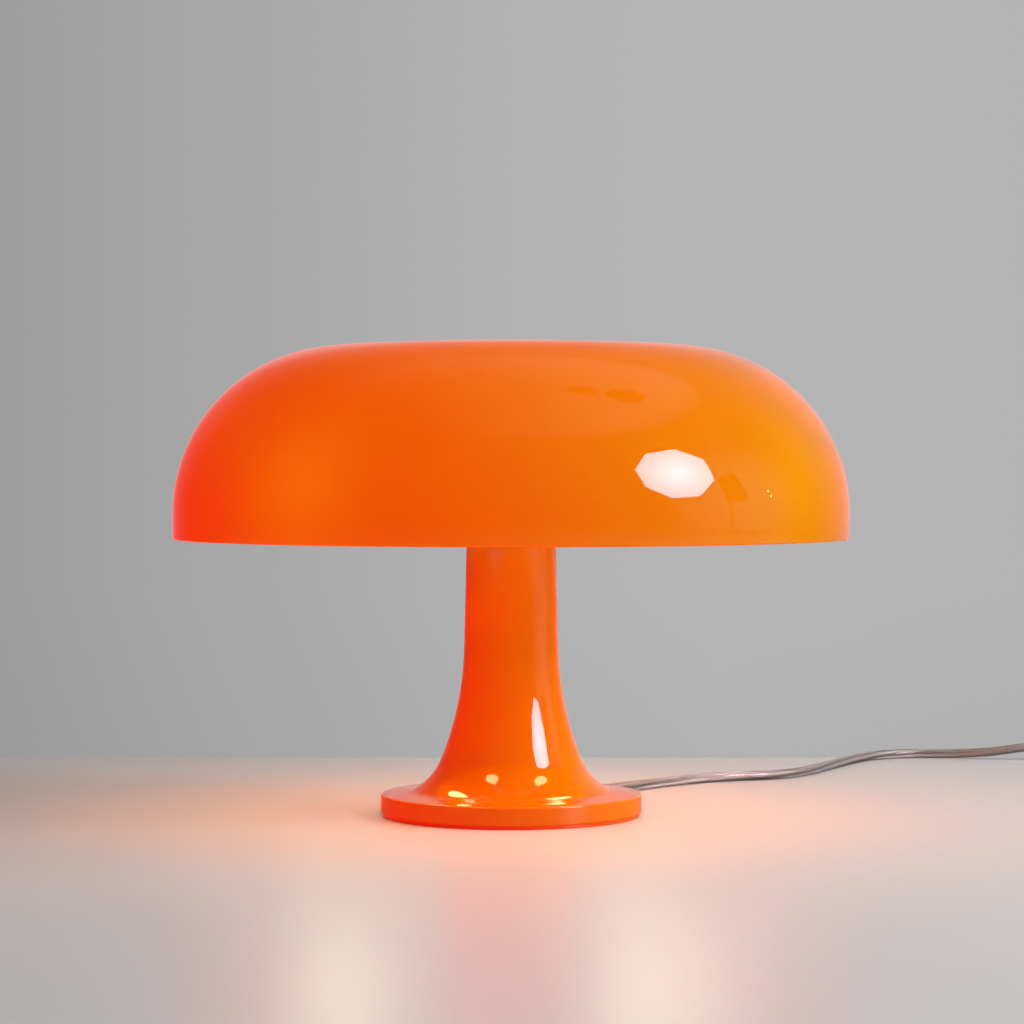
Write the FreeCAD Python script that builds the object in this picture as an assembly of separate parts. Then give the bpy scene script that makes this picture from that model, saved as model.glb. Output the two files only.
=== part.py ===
import FreeCAD, Part
import math
import os

# A mushroom table lamp: a moulded dome shade that lifts off, on a one-piece moulded stem and base.
# Four small globe bulbs lie level under the shade, on a hub at the top of the stem.
# Millimetres, Z up. The origin is the middle of the underside, on the table. The front is -Y.

Vector = FreeCAD.Vector

# ---- Clearances ----
body_gap = 0.3          # between pieces that move apart
seat_gap = 0.05         # between pieces of one body that are fitted together
bolt_gap = 0.2          # round a screw or a threaded tube in its hole

# ---- Shade ----
shade_radius = 160.0
shade_wall = 2.8
shade_rim_height = 131.3      # of the rim above the table
shade_wall_height = 12.0      # of the upright wall, from the rim to the shoulder
shade_shoulder_radius = 79.0
shade_crown_radius = 1600.0   # the nearly flat top
shade_rim_rounding = 0.9
locating_ring_wall = 2.4
locating_ring_depth = 8.0
seat_land_thickness = 1.0     # the flat pad moulded under the crown

# ---- Stem and base, one moulding ----
moulding_wall = 2.5
stem_top_height = 141.0
stem_top_radius = 20.99
stem_taper = 0.024            # radius gained for each millimetre down
stem_top_wall = 4.0
stem_top_rounding = 1.0
flare_radii = (148.4, 28.4, 11.5)       # of the three arcs from the stem down to the disc
flare_angles = (22.2, 60.0, 85.0)       # from upright, at the lower end of each arc
disc_radius = 61.9
disc_edge_height = 10.3
disc_edge_rounding = 0.9
screw_boss_radius = 3.6
screw_circle_radius = 48.0
screw_pilot_depth = 5.0

# ---- Underside ----
foot_height = 1.6
foot_inset = 1.0              # of the foot ring behind the edge of the disc
foot_width = 6.6
cover_thickness = 1.2
ballast_thickness = 4.2
ballast_bore_radius = 27.0
ballast_notch_width = 27.0    # where the cord comes in
base_screw_count = 3

# ---- Screws ----
screw_radius = 1.2
screw_head_radius = 2.6
screw_head_height = 1.2

# ---- Threaded tubes, nuts and washers ----
tube_radius = 5.0
tube_bore_radius = 3.5
nut_across_flats = 14.0
nut_height = 3.0
washer_radius = 9.0
washer_thickness = 1.0

# ---- Hub ----
hub_radius = 24.0
hub_wall = 1.6
hub_height = 30.0
hub_cover_thickness = 1.5
hub_cover_lip = 3.0
block_width = 9.0
block_height = 12.0
block_well_radius = 1.3

# ---- Lampholders, along their own axis from the lamp's axis outwards ----
holder_count = 4
holder_first_azimuth = 55.0
holder_neck_radius = 8.0
holder_neck_length = 18.0
holder_cone_length = 4.5
holder_body_radius = 12.8
holder_body_length = 48.0
holder_body_wall = 2.0
holder_body_rounding = 1.5
insert_length = 22.0
insert_floor = 3.0
shell_bore_radius = 7.15
shell_wall = 0.4
contact_radius = 3.0
contact_height = 2.2
wire_radius = 0.8
wire_spacing = 3.2

# ---- Bulbs ----
bulb_length = 76.0
bulb_globe_radius = 22.5
bulb_glass_wall = 0.8
bulb_neck_radius = 6.9
bulb_neck_fillet = 14.0
cap_radius = 6.85
cap_length = 19.0
cap_insulator_length = 2.6
tip_radius = 2.3
tip_height = 1.4

# ---- Shade seat ----
seat_radius = 24.0
seat_thickness = 3.5
seat_boss_radius = 9.0
seat_boss_share = 0.3         # of the height between the hub's nut and the seat
seat_pad_thickness = 1.2
seat_pad_inner_radius = 13.0
ring_clearance = 0.5          # of the locating ring round the seat

# ---- Cord ----
cord_radius = 2.5
cord_floor_gap = 0.1
cord_azimuth = 60.0
gland_shank_radius = 3.0
gland_flange_radius = 4.1
gland_flange_thickness = 1.1
relief_length = 24.0
relief_start_radius = 3.9
relief_end_radius = 3.05
relief_end_height = 3.4       # of its middle above the table
inner_bend_radius = 17.0      # where the cord turns up into the stem
clamp_reach = 38.0            # of the clamp from the lamp's axis
clamp_length = 8.0
clamp_span = 20.0
clamp_thickness = 1.4
clamp_screw_spacing = 14.0
clamp_corner_rounding = 0.5
relief_run = 18.0             # of straight cord after the relief, and after the switch
switch_run = 20.0             # before the switch

# The free cord as it lies, from the first point after the strain relief to the last before the switch.
lead_points = [(66.5, 108.5, 2.6), (82.0, 127.5, 2.6), (99.0, 143.5, 2.6), (117.5, 153.0, 2.6),
               (135.5, 158.0, 2.6), (150.5, 169.0, 2.6), (161.5, 186.5, 2.6), (171.5, 208.0, 2.6),
               (183.0, 232.0, 2.6), (195.0, 255.5, 2.6), (210.0, 272.5, 2.6), (230.5, 279.0, 2.6),
               (253.0, 277.0, 2.6), (274.5, 271.0, 4.4)]
# From the first point after the switch to the last but one before the coil.
tail_points = [(410.5, 258.0, 7.0), (420.5, 240.7, 5.6), (419.5, 218.5, 4.3), (410.5, 196.5, 3.6)]

# ---- Switch on the cord, along X ----
switch_centre = (345.0, 268.0)
switch_length = 60.0
switch_width = 25.0
switch_end_width = 13.0
switch_flat_length = 28.0     # of the middle of its sides
switch_end_rounding = 4.0     # seen from above
switch_side_rounding = 25.0
switch_height = 16.0
switch_rounding = 2.5
rocker_radius = 9.8           # from its pivot to its two ends
rocker_width = 11.0
rocker_tilt = 8.0             # to each side of level
rocker_pivot_height = 12.6
rocker_depth = 4.2            # below the pivot
rocker_dish = 2.5             # height of the middle of its top above the pivot
rocker_crest = 4.1            # height of its two ends above the pivot
axle_radius = 1.5
axle_length = 1.6
axle_clearance = 0.1
switch_screw_spacing = 42.0
switch_screw_length = 10.0

# ---- Coil of the length that is put away ----
coil_centre = (360.0, 140.0)
coil_outer_radius = 36.5      # of the middle of the cord
coil_half_turns = 6           # in each of the two layers
coil_pitch = 5.5              # from turn to turn
coil_rise = 5.45              # from layer to layer
coil_height = 3.4             # of the lower layer's middle above the table
tie_width = 8.0
tie_thickness = 0.5
coil_run_in = 24.0            # of straight cord before the coil
plug_runs = (14.0, 30.0, 44.0)   # from the coil's end to where the lead starts down, is down, and ends

# ---- Plug, along Y ----
plug_length = 38.0
plug_width = 35.3
plug_thickness = 13.7
plug_tail_width = 10.0
plug_tail_height = 9.0
plug_neck_length = 13.3       # from its tail to where it starts to widen
plug_neck_width = 13.0
plug_neck_height = 10.35
plug_shoulder_length = 27.4   # from its tail to where it is at its widest
plug_rounding = 4.0
pin_radius = 2.0
pin_length = 19.0
pin_spacing = 18.6
pin_chamfer = 0.8

# ---- Heights and reaches worked out from the sizes above ----
cover_top = foot_height + cover_thickness
cord_exit_height = cover_top + cord_floor_gap + cord_radius   # of its middle, where it leaves the base
holder_start = hub_radius + body_gap
bulb_axis_height = stem_top_height + hub_height / 2
insert_start = holder_start + holder_neck_length + holder_cone_length
contact_face = insert_start + insert_floor + contact_height
bulb_start = contact_face + body_gap
holder_azimuths = [holder_first_azimuth + 360.0 * i / holder_count for i in range(holder_count)]
hub_top = stem_top_height + hub_height


def crown_heights(inset):
    """Height of the shade's surface, moved in by inset, where the shoulder ends and on the axis."""
    shoulder = shade_shoulder_radius - inset
    crown = shade_crown_radius - inset
    middle_x = shade_radius - shade_shoulder_radius
    middle_z = shade_rim_height + shade_wall_height
    # The crown's centre is on the axis, in line with the shoulder's centre and the point where they meet.
    drop = math.sqrt((shade_crown_radius - shade_shoulder_radius) ** 2 - middle_x ** 2)
    lean = math.atan2(drop, middle_x)
    meeting = (middle_x + shoulder * math.cos(lean), middle_z + shoulder * math.sin(lean))
    return meeting, middle_z - drop + crown, lean


seat_land_height = crown_heights(shade_wall)[0][1] - seat_land_thickness
seat_top = seat_land_height - body_gap
seat_pad_bottom = seat_top - seat_pad_thickness
seat_bottom = seat_pad_bottom - seat_thickness


# ---- Helpers ----
def outline(start, steps):
    """A closed wire in the XZ plane. A step is an (x, z) point, or an arc's middle and end points."""
    first = Vector(start[0], 0, start[1])
    here = first
    edges = []
    for step in steps:
        if isinstance(step[0], tuple):
            middle, end = (Vector(x, 0, z) for x, z in step)
            edges.append(Part.Arc(here, middle, end).toShape())
        else:
            end = Vector(step[0], 0, step[1])
            edges.append(Part.LineSegment(here, end).toShape())
        here = end
    if here.distanceToPoint(first) > 1e-6:
        edges.append(Part.LineSegment(here, first).toShape())
    return Part.Wire(edges)


def rounded(corners):
    """A closed wire through (x, z) corners. A corner's third value, if it has one, rounds it off."""
    steps = []
    for i, corner in enumerate(corners):
        here = Vector(corner[0], 0, corner[1])
        if len(corner) == 2:
            steps.append((here.x, here.z))
            continue
        before = corners[i - 1]
        after = corners[(i + 1) % len(corners)]
        back = (Vector(before[0], 0, before[1]) - here).normalize()
        ahead = (Vector(after[0], 0, after[1]) - here).normalize()
        half = back.getAngle(ahead) / 2
        start = here + back * (corner[2] / math.tan(half))
        end = here + ahead * (corner[2] / math.tan(half))
        middle = here + (back + ahead).normalize() * (corner[2] / math.sin(half) - corner[2])
        steps.append((start.x, start.z))
        steps.append(((middle.x, middle.z), (end.x, end.z)))
    return outline(steps[0], steps[1:])


def revolved(wire):
    """The wire's area turned about the Z axis."""
    return Part.Face(wire).revolve(Vector(0, 0, 0), Vector(0, 0, 1), 360)


def turned(corners):
    """A turned solid from its (radius, height) corners."""
    return revolved(rounded(corners))


def cylinder(radius, bottom, top, x=0.0, y=0.0):
    return Part.makeCylinder(radius, top - bottom, Vector(x, y, bottom))


def ring(inner, outer, bottom, top):
    return turned([(inner, bottom), (outer, bottom), (outer, top), (inner, top)])


def block(low, high):
    low = Vector(*low)
    size = Vector(*high) - low
    return Part.makeBox(size.x, size.y, size.z, low)


def moved(shape, placement):
    copy = shape.copy()
    copy.Placement = placement.multiply(copy.Placement)
    return copy


def about_axis(shape, azimuth):
    """Turned about the lamp's axis."""
    return moved(shape, FreeCAD.Placement(Vector(0, 0, 0), FreeCAD.Rotation(Vector(0, 0, 1), azimuth)))


def laid_out(shape, azimuth, height):
    """What stands along Z, laid level to point outwards from the lamp's axis at this azimuth and height."""
    level = FreeCAD.Rotation(Vector(0, 1, 0), 90)
    turn = FreeCAD.Rotation(Vector(0, 0, 1), azimuth)
    return moved(shape, FreeCAD.Placement(Vector(0, 0, height), turn.multiply(level)))


def around(shape, azimuths):
    return [about_axis(shape, azimuth) for azimuth in azimuths]


def hexagon(across_flats, bottom, height):
    corner = across_flats / math.sqrt(3)
    angles = [math.radians(60 * i + 30) for i in range(7)]
    points = [Vector(corner * math.cos(a), corner * math.sin(a), bottom) for a in angles]
    return Part.Face(Part.makePolygon(points)).extrude(Vector(0, 0, height))


def nut(bottom):
    return hexagon(nut_across_flats, bottom, nut_height).cut(
        cylinder(tube_radius + seat_gap, bottom - 1, bottom + nut_height + 1))


def washer(bottom):
    return ring(tube_radius + seat_gap, washer_radius, bottom, bottom + washer_thickness)


def threaded_tube(bottom, top):
    return ring(tube_bore_radius, tube_radius, bottom, top)


def screw_up(x, y, head_top, length):
    """A pan-head screw that points up, with its head under head_top."""
    head_bottom = head_top - screw_head_height
    body = turned([(0, head_bottom), (screw_head_radius, head_bottom, 0.5), (screw_head_radius, head_top),
                   (screw_radius, head_top), (screw_radius, head_top + length - 1),
                   (screw_radius / 3, head_top + length), (0, head_top + length)])
    return moved(body, FreeCAD.Placement(Vector(x, y, 0), FreeCAD.Rotation()))


def screw_down(x, y, head_bottom, length):
    """A pan-head screw that points down, with its head on head_bottom."""
    flip = FreeCAD.Rotation(Vector(1, 0, 0), 180)
    return moved(screw_up(0, 0, 0, length), FreeCAD.Placement(Vector(x, y, head_bottom), flip))


def screw_azimuths():
    """The base screws stand as far as they can from the cord."""
    step = 360.0 / base_screw_count
    return [cord_azimuth + step * (i + 0.5) for i in range(base_screw_count)]


def on_circle(radius, azimuth):
    angle = math.radians(azimuth)
    return radius * math.cos(angle), radius * math.sin(angle)


def export(name, shape):
    solids = shape.Solids
    for solid in solids:
        if not solid.isValid():
            print("not valid:", name)
    whole = solids[0] if len(solids) == 1 else Part.makeCompound(solids)
    whole.exportStep("parts/%s.step" % name)


def group(shapes):
    return Part.makeCompound([solid for shape in shapes for solid in shape.Solids])


# ---- Shade ----
def dome_steps(inset, bottom):
    """The dome's surface moved in by inset, from the bottom of its wall up to the axis."""
    meeting, top, lean = crown_heights(inset)
    shoulder = shade_shoulder_radius - inset
    middle_x = shade_radius - shade_shoulder_radius
    middle_z = shade_rim_height + shade_wall_height
    halfway = (middle_x + shoulder * math.cos(lean / 2), middle_z + shoulder * math.sin(lean / 2))
    crown = shade_crown_radius - inset
    across = meeting[0] / 2
    crown_middle = (across, top - crown + math.sqrt(crown ** 2 - across ** 2))
    wall_top = (shade_radius - inset, middle_z)
    return [(shade_radius - inset, bottom), wall_top, (halfway, meeting), (crown_middle, (0, top))]


def shade():
    outer_steps = dome_steps(0, shade_rim_height)
    outer = revolved(outline((0, shade_rim_height), outer_steps))
    inner_steps = dome_steps(shade_wall, shade_rim_height - 1)
    hollow = revolved(outline((0, shade_rim_height - 1), inner_steps))
    shell = outer.cut(hollow)
    rim_edges = [e for e in shell.Edges if e.BoundBox.ZMax < shade_rim_height + 0.01]
    shell = shell.makeFillet(min(shade_rim_rounding, 0.4 * shade_wall), rim_edges)
    ring_bore = seat_radius + ring_clearance
    ring_top = seat_land_height + seat_land_thickness + shade_wall / 2
    ring_bottom = seat_land_height - locating_ring_depth
    land = cylinder(ring_bore + locating_ring_wall, seat_land_height, ring_top)
    collar = turned([(ring_bore, ring_bottom, 0.6), (ring_bore + locating_ring_wall, ring_bottom, 0.6),
                     (ring_bore + locating_ring_wall, ring_top), (ring_bore, ring_top)])
    return shell.fuse([land, collar]).removeSplitter()


# ---- Stem and base ----
def flare_points():
    """Where the flare's arcs start and end, as (radius, height), and the angles there from upright."""
    angles = [math.atan(stem_taper)] + [math.radians(a) for a in flare_angles]
    spread = 0.0
    fall = 0.0
    for radius, above, below in zip(flare_radii, angles, angles[1:]):
        spread += radius * (math.cos(above) - math.cos(below))
        fall += radius * (math.sin(below) - math.sin(above))
    # The straight taper ends where the arcs below it run out on the disc's sloping top.
    slope = 1 / math.tan(angles[-1])
    neck = stem_top_radius + stem_taper * stem_top_height
    height = (fall + disc_edge_height + slope * (disc_radius - neck - spread)) / (1 - slope * stem_taper)
    points = [(neck - stem_taper * height, height)]
    for radius, above, below in zip(flare_radii, angles, angles[1:]):
        x, z = points[-1]
        points.append((x + radius * (math.cos(above) - math.cos(below)),
                       z - radius * (math.sin(below) - math.sin(above))))
    return points, angles


def flare_steps(inset, edge_radius):
    """The flare's surface moved in by inset, from the end of the taper to edge_radius on the disc."""
    points, angles = flare_points()
    steps = []
    for i, radius in enumerate(flare_radii):
        x, z = points[i]
        centre_x = x + radius * math.cos(angles[i])
        centre_z = z + radius * math.sin(angles[i])
        reach = radius + inset
        arc = [(centre_x - reach * math.cos(a), centre_z - reach * math.sin(a))
               for a in (angles[i], (angles[i] + angles[i + 1]) / 2, angles[i + 1])]
        if i == 0:
            steps.append(arc[0])
        steps.append((arc[1], arc[2]))
    foot_x, foot_z = steps[-1][1]
    steps.append((edge_radius, foot_z - (edge_radius - foot_x) / math.tan(angles[-1])))
    return steps


def inner_ceiling(radius):
    """Height of the moulding's inner surface over the sloping part of the disc."""
    points, angles = flare_points()
    foot_x = points[-1][0] - moulding_wall * math.cos(angles[-1])
    foot_z = points[-1][1] - moulding_wall * math.sin(angles[-1])
    return foot_z - (radius - foot_x) / math.tan(angles[-1])


def stem_and_base():
    outside = flare_steps(0, disc_radius)
    edge = outside.pop()
    r = disc_edge_rounding
    slope = math.tan(math.radians(90 - flare_angles[-1]))
    diagonal = r * (1 - math.sqrt(0.5))
    outside += [(disc_radius - r, edge[1] + slope * r),
                ((disc_radius - diagonal, edge[1] - diagonal), (disc_radius, edge[1] - r)),
                (disc_radius, foot_height + r),
                ((disc_radius - diagonal, foot_height + diagonal), (disc_radius - r, foot_height)),
                (0, foot_height)]
    t = stem_top_rounding
    top_diagonal = t * (1 - math.sqrt(0.5))
    top = [(stem_top_radius - t, stem_top_height),
           ((stem_top_radius - top_diagonal, stem_top_height - top_diagonal),
            (stem_top_radius + stem_taper * t, stem_top_height - t))]
    solid = revolved(outline((0, stem_top_height), top + outside))
    cavity_radius = disc_radius - moulding_wall
    ceiling = stem_top_height - stem_top_wall
    ceiling_radius = stem_top_radius + stem_taper * stem_top_wall - moulding_wall
    inside = flare_steps(moulding_wall, cavity_radius) + [(cavity_radius, 0), (0, 0)]
    solid = solid.cut(revolved(outline((0, ceiling), [(ceiling_radius, ceiling)] + inside)))
    boss_top = inner_ceiling(screw_circle_radius) + moulding_wall / 2
    boss = cylinder(screw_boss_radius, cover_top, boss_top, screw_circle_radius)
    pilot_top = cover_top + screw_pilot_depth
    pilot = cylinder(screw_radius + seat_gap, foot_height, pilot_top, screw_circle_radius)
    solid = solid.fuse(around(boss, screw_azimuths()))
    hole = laid_out(cylinder(gland_shank_radius + seat_gap, disc_radius - 2 * moulding_wall, disc_radius + 1),
                    cord_azimuth, cord_exit_height)
    tube_hole = cylinder(tube_radius + bolt_gap, ceiling - 1, stem_top_height + 1)
    return solid.cut(around(pilot, screw_azimuths()) + [hole, tube_hole]).removeSplitter()


def base_cover():
    radius = disc_radius - moulding_wall - body_gap
    plate = turned([(0, foot_height), (radius, foot_height), (radius, cover_top, 0.5), (0, cover_top)])
    hole = cylinder(screw_radius + bolt_gap, foot_height - 1, cover_top + 1, screw_circle_radius)
    clamp_holes = [about_axis(cylinder(screw_radius + seat_gap, foot_height - 1, cover_top + 1,
                                       clamp_reach, side * clamp_screw_spacing / 2), cord_azimuth)
                   for side in (-1, 1)]
    return plate.cut(around(hole, screw_azimuths()) + clamp_holes)


def foot_ring():
    outer = disc_radius - foot_inset
    inner = outer - foot_width
    return turned([(inner, 0, 0.4), (outer, 0, 0.4), (outer, foot_height), (inner, foot_height)])


def ballast_ring():
    outer = disc_radius - moulding_wall - 2 * body_gap
    top = cover_top + ballast_thickness
    plate = turned([(ballast_bore_radius, cover_top), (outer, cover_top),
                    (outer, top, 0.5), (ballast_bore_radius, top)])
    boss_hole = cylinder(screw_boss_radius + body_gap, cover_top - 1, top + 1, screw_circle_radius)
    notch = about_axis(block((0, -ballast_notch_width / 2, cover_top - 1),
                             (disc_radius, ballast_notch_width / 2, top + 1)), cord_azimuth)
    return plate.cut(around(boss_hole, screw_azimuths()) + [notch])


def base_screws():
    length = cover_thickness + screw_pilot_depth - body_gap
    return group([screw_up(*on_circle(screw_circle_radius, a), foot_height, length)
                  for a in screw_azimuths()])


# ---- Cord entry ----
def cord_gland():
    """A bush through the rim of the disc, with a tapered relief that leans down to the table."""
    wall_inside = disc_radius - moulding_wall
    wall_outside = disc_radius + seat_gap
    flange_end = wall_outside + gland_flange_thickness
    bush = turned([(0, wall_inside), (gland_shank_radius, wall_inside), (gland_shank_radius, wall_outside),
                   (gland_flange_radius, wall_outside), (gland_flange_radius, flange_end, 0.4),
                   (0, flange_end)])
    circles = []
    for x, z, radius in ((flange_end - gland_flange_thickness / 2, cord_exit_height, relief_start_radius),
                         (disc_radius + relief_length, relief_end_height, relief_end_radius)):
        circles.append(Part.Wire(Part.makeCircle(radius, Vector(x, 0, z), Vector(1, 0, 0))))
    relief = about_axis(Part.makeLoft(circles, True, True), cord_azimuth)
    return laid_out(bush, cord_azimuth, cord_exit_height).fuse(relief).removeSplitter()


def inner_cord():
    """From the gland level across the base, then up the stem and through the threaded tube."""
    start = Vector(disc_radius - moulding_wall, 0, cord_exit_height)
    corner = Vector(inner_bend_radius, 0, cord_exit_height)
    slant = inner_bend_radius * (1 - math.sqrt(0.5))
    middle = Vector(slant, 0, cord_exit_height + slant)
    rise = Vector(0, 0, cord_exit_height + inner_bend_radius)
    end = Vector(0, 0, stem_top_height + hub_wall + nut_height + 2)
    path = Part.Wire([Part.LineSegment(start, corner).toShape(), Part.Arc(corner, middle, rise).toShape(),
                      Part.LineSegment(rise, end).toShape()])
    return about_axis(tube(path), cord_azimuth)


def cord_clamp():
    """A saddle over the cord, screwed down on the cover."""
    half = clamp_span / 2
    crown = cord_exit_height + cord_radius + seat_gap + clamp_thickness
    bore = cord_radius + seat_gap
    arch = bore + clamp_thickness
    t = clamp_thickness
    corner = clamp_corner_rounding
    profile = rounded([(-half, cover_top), (-bore, cover_top), (-bore, crown - t, bore * 0.95),
                       (bore, crown - t, bore * 0.95), (bore, cover_top), (half, cover_top),
                       (half, cover_top + t), (arch, cover_top + t, corner), (arch, crown, arch * 0.9),
                       (-arch, crown, arch * 0.9), (-arch, cover_top + t, corner), (-half, cover_top + t)])
    saddle = Part.Face(profile).extrude(Vector(0, clamp_length, 0))
    turn = FreeCAD.Rotation(Vector(0, 0, 1), 90)
    saddle = moved(saddle, FreeCAD.Placement(Vector(clamp_reach + clamp_length / 2, 0, 0), turn))
    holes = [cylinder(screw_radius + bolt_gap, cover_top - 1, crown + 1,
                      clamp_reach, side * clamp_screw_spacing / 2) for side in (-1, 1)]
    return about_axis(saddle.cut(holes), cord_azimuth)


def clamp_screws():
    """They go down through the saddle's feet and end flush with the cover's underside."""
    head = cover_top + clamp_thickness
    screws = [screw_down(clamp_reach, side * clamp_screw_spacing / 2, head, head - foot_height)
              for side in (-1, 1)]
    return about_axis(group(screws), cord_azimuth)


# ---- Hub, lampholders and what joins them ----
def cluster_hub():
    top = hub_top - hub_cover_thickness
    cup = turned([(0, stem_top_height), (hub_radius, stem_top_height, 1.2), (hub_radius, top),
                  (hub_radius - hub_wall, top), (hub_radius - hub_wall, stem_top_height + hub_wall, 0.8),
                  (0, stem_top_height + hub_wall)])
    side_hole = cylinder(tube_radius + bolt_gap, 0, hub_radius + 1)
    holes = [laid_out(side_hole, azimuth, bulb_axis_height) for azimuth in holder_azimuths]
    return cup.cut(holes + [cylinder(tube_radius + bolt_gap, 0, stem_top_height + 5)])


def hub_cover():
    lip = hub_radius - hub_wall - seat_gap
    return turned([(tube_radius + bolt_gap, hub_top - hub_cover_thickness),
                   (lip - hub_wall, hub_top - hub_cover_thickness),
                   (lip - hub_wall, hub_top - hub_cover_thickness - hub_cover_lip),
                   (lip, hub_top - hub_cover_thickness - hub_cover_lip),
                   (lip, hub_top - hub_cover_thickness), (hub_radius, hub_top - hub_cover_thickness),
                   (hub_radius, hub_top, 0.6), (tube_radius + bolt_gap, hub_top)])


stem_nut_bottom = stem_top_height - stem_top_wall - washer_thickness - nut_height
hub_nut_bottom = stem_top_height + hub_wall
cover_nut_bottom = hub_top
lock_nut_bottom = hub_top - hub_cover_thickness - nut_height


def stem_tube():
    return threaded_tube(stem_nut_bottom - 2, hub_nut_bottom + nut_height + 1)


def tube_nuts():
    bottoms = (stem_nut_bottom, hub_nut_bottom, lock_nut_bottom, cover_nut_bottom)
    return group([nut(bottom) for bottom in bottoms])


def stem_washer():
    return washer(stem_top_height - stem_top_wall - washer_thickness)


def terminal_block():
    middle = bulb_axis_height
    half = block_width / 2
    body = block((-half, -half, middle - block_height / 2), (half, half, middle + block_height / 2))
    wells = [cylinder(block_well_radius, middle + block_height / 4, middle + block_height, x, y)
             for x in (-half / 2, half / 2) for y in (-half / 2, half / 2)]
    return body.cut(wells)


nut_face = math.sqrt((hub_radius - hub_wall) ** 2 - nut_across_flats ** 2 / 3) - body_gap


def holder_tubes():
    """Short threaded tubes that hold the lampholders on the hub."""
    one = threaded_tube(nut_face - nut_height, holder_start + holder_neck_length - 1)
    return group([laid_out(one, azimuth, bulb_axis_height) for azimuth in holder_azimuths])


def holder_nuts():
    one = nut(nut_face - nut_height)
    return group([laid_out(one, azimuth, bulb_axis_height) for azimuth in holder_azimuths])


def holder_wires():
    """Two wires from the terminal block to each lampholder's contacts."""
    start = block_width / 2 * math.sqrt(2) + body_gap
    end = insert_start - seat_gap
    pair = [cylinder(wire_radius, start, end, 0, side * wire_spacing / 2) for side in (-1, 1)]
    return group([laid_out(wire, azimuth, bulb_axis_height) for azimuth in holder_azimuths for wire in pair])


def holder_body():
    """The moulded outside of a lampholder, along Z."""
    neck_end = holder_start + holder_neck_length
    cone_end = neck_end + holder_cone_length
    end = holder_start + holder_body_length
    bore = holder_body_radius - holder_body_wall
    return turned([(tube_radius + seat_gap, holder_start), (holder_neck_radius, holder_start, 0.8),
                   (holder_neck_radius, neck_end, 2.0), (holder_body_radius, cone_end, holder_body_rounding),
                   (holder_body_radius, end, 0.8), (bore, end, 0.6), (bore, cone_end),
                   (holder_neck_radius - holder_body_wall, cone_end - holder_body_wall),
                   (holder_neck_radius - holder_body_wall, neck_end), (tube_radius + seat_gap, neck_end)])


def holder_insert():
    """The insulating tube inside a lampholder, with the floor that carries the contact."""
    outer = holder_body_radius - holder_body_wall - seat_gap
    bore = shell_bore_radius + shell_wall + seat_gap
    floor = insert_start + insert_floor
    return turned([(0, insert_start), (outer, insert_start), (outer, insert_start + insert_length, 0.6),
                   (bore, insert_start + insert_length), (bore, floor), (0, floor)])


def screw_shell():
    floor = insert_start + insert_floor
    return ring(shell_bore_radius, shell_bore_radius + shell_wall, floor, insert_start + insert_length - 1)


def centre_contacts():
    floor = insert_start + insert_floor
    one = turned([(0, floor), (contact_radius, floor), (contact_radius, floor + contact_height / 2),
                  (contact_radius / 2, contact_face), (0, contact_face)])
    return group([laid_out(one, azimuth, bulb_axis_height) for azimuth in holder_azimuths])


# ---- Bulbs, along Z ----
cap_start = bulb_start + tip_height
cap_end = bulb_start + cap_length


def bulb_tip():
    return turned([(0, bulb_start), (tip_radius * 0.7, bulb_start, 0.4), (tip_radius, cap_start - body_gap),
                   (0, cap_start - body_gap)])


def bulb_cap():
    shoulder = cap_start + cap_insulator_length
    return turned([(0, cap_start), (tip_radius + 0.8, cap_start), (cap_radius, shoulder, 0.8),
                   (cap_radius, cap_end), (0, cap_end)])


def bulb_glass():
    """The neck runs into the globe through a hollow fillet that touches both."""
    centre = bulb_start + bulb_length - bulb_globe_radius
    fillet_x = bulb_neck_radius + bulb_neck_fillet
    reach = bulb_globe_radius + bulb_neck_fillet
    fillet_z = centre - math.sqrt(reach ** 2 - fillet_x ** 2)
    lean = math.atan2(centre - fillet_z, fillet_x)

    def surface(inset):
        fillet = bulb_neck_fillet + inset
        globe = bulb_globe_radius - inset
        return [(bulb_neck_radius - inset, cap_end), (bulb_neck_radius - inset, fillet_z),
                ((fillet_x - fillet * math.cos(lean / 2), fillet_z + fillet * math.sin(lean / 2)),
                 (fillet_x - fillet * math.cos(lean), fillet_z + fillet * math.sin(lean))),
                ((globe, centre), (0, centre + globe))]

    outside = revolved(outline((0, cap_end), surface(0)))
    inside = revolved(outline((0, cap_end), surface(bulb_glass_wall)))
    return outside.cut(inside)


# ---- Shade seat ----
def seat_tube():
    return threaded_tube(lock_nut_bottom - 1, seat_pad_bottom - 1)


def shade_seat():
    boss_bottom = seat_bottom - seat_boss_share * (seat_bottom - cover_nut_bottom - nut_height)
    return turned([(tube_radius + seat_gap, boss_bottom), (seat_boss_radius, boss_bottom, 0.8),
                   (seat_boss_radius, seat_bottom, 1.5), (seat_radius, seat_bottom, 1.0),
                   (seat_radius, seat_pad_bottom, 0.5), (tube_radius + seat_gap, seat_pad_bottom)])


def seat_pad():
    return ring(seat_pad_inner_radius, seat_radius - 1, seat_pad_bottom, seat_top)


# ---- Cord ----
def tube(path):
    """A round cord along a path of lines and arcs that run straight into each other."""
    first = path.OrderedEdges[0]
    at = first.valueAt(first.FirstParameter)
    along = first.tangentAt(first.FirstParameter)
    if path.OrderedVertexes[0].Point.distanceToPoint(at) > 1e-4:
        at = first.valueAt(first.LastParameter)
        along = first.tangentAt(first.LastParameter) * -1
    section = Part.Wire(Part.makeCircle(cord_radius, at, along))
    solid = path.makePipeShell([section], True, False)
    expected = math.pi * cord_radius ** 2 * path.Length
    print("cord: length %.1f, volume %.4f of section times length" % (path.Length, solid.Volume / expected))
    return solid


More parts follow.
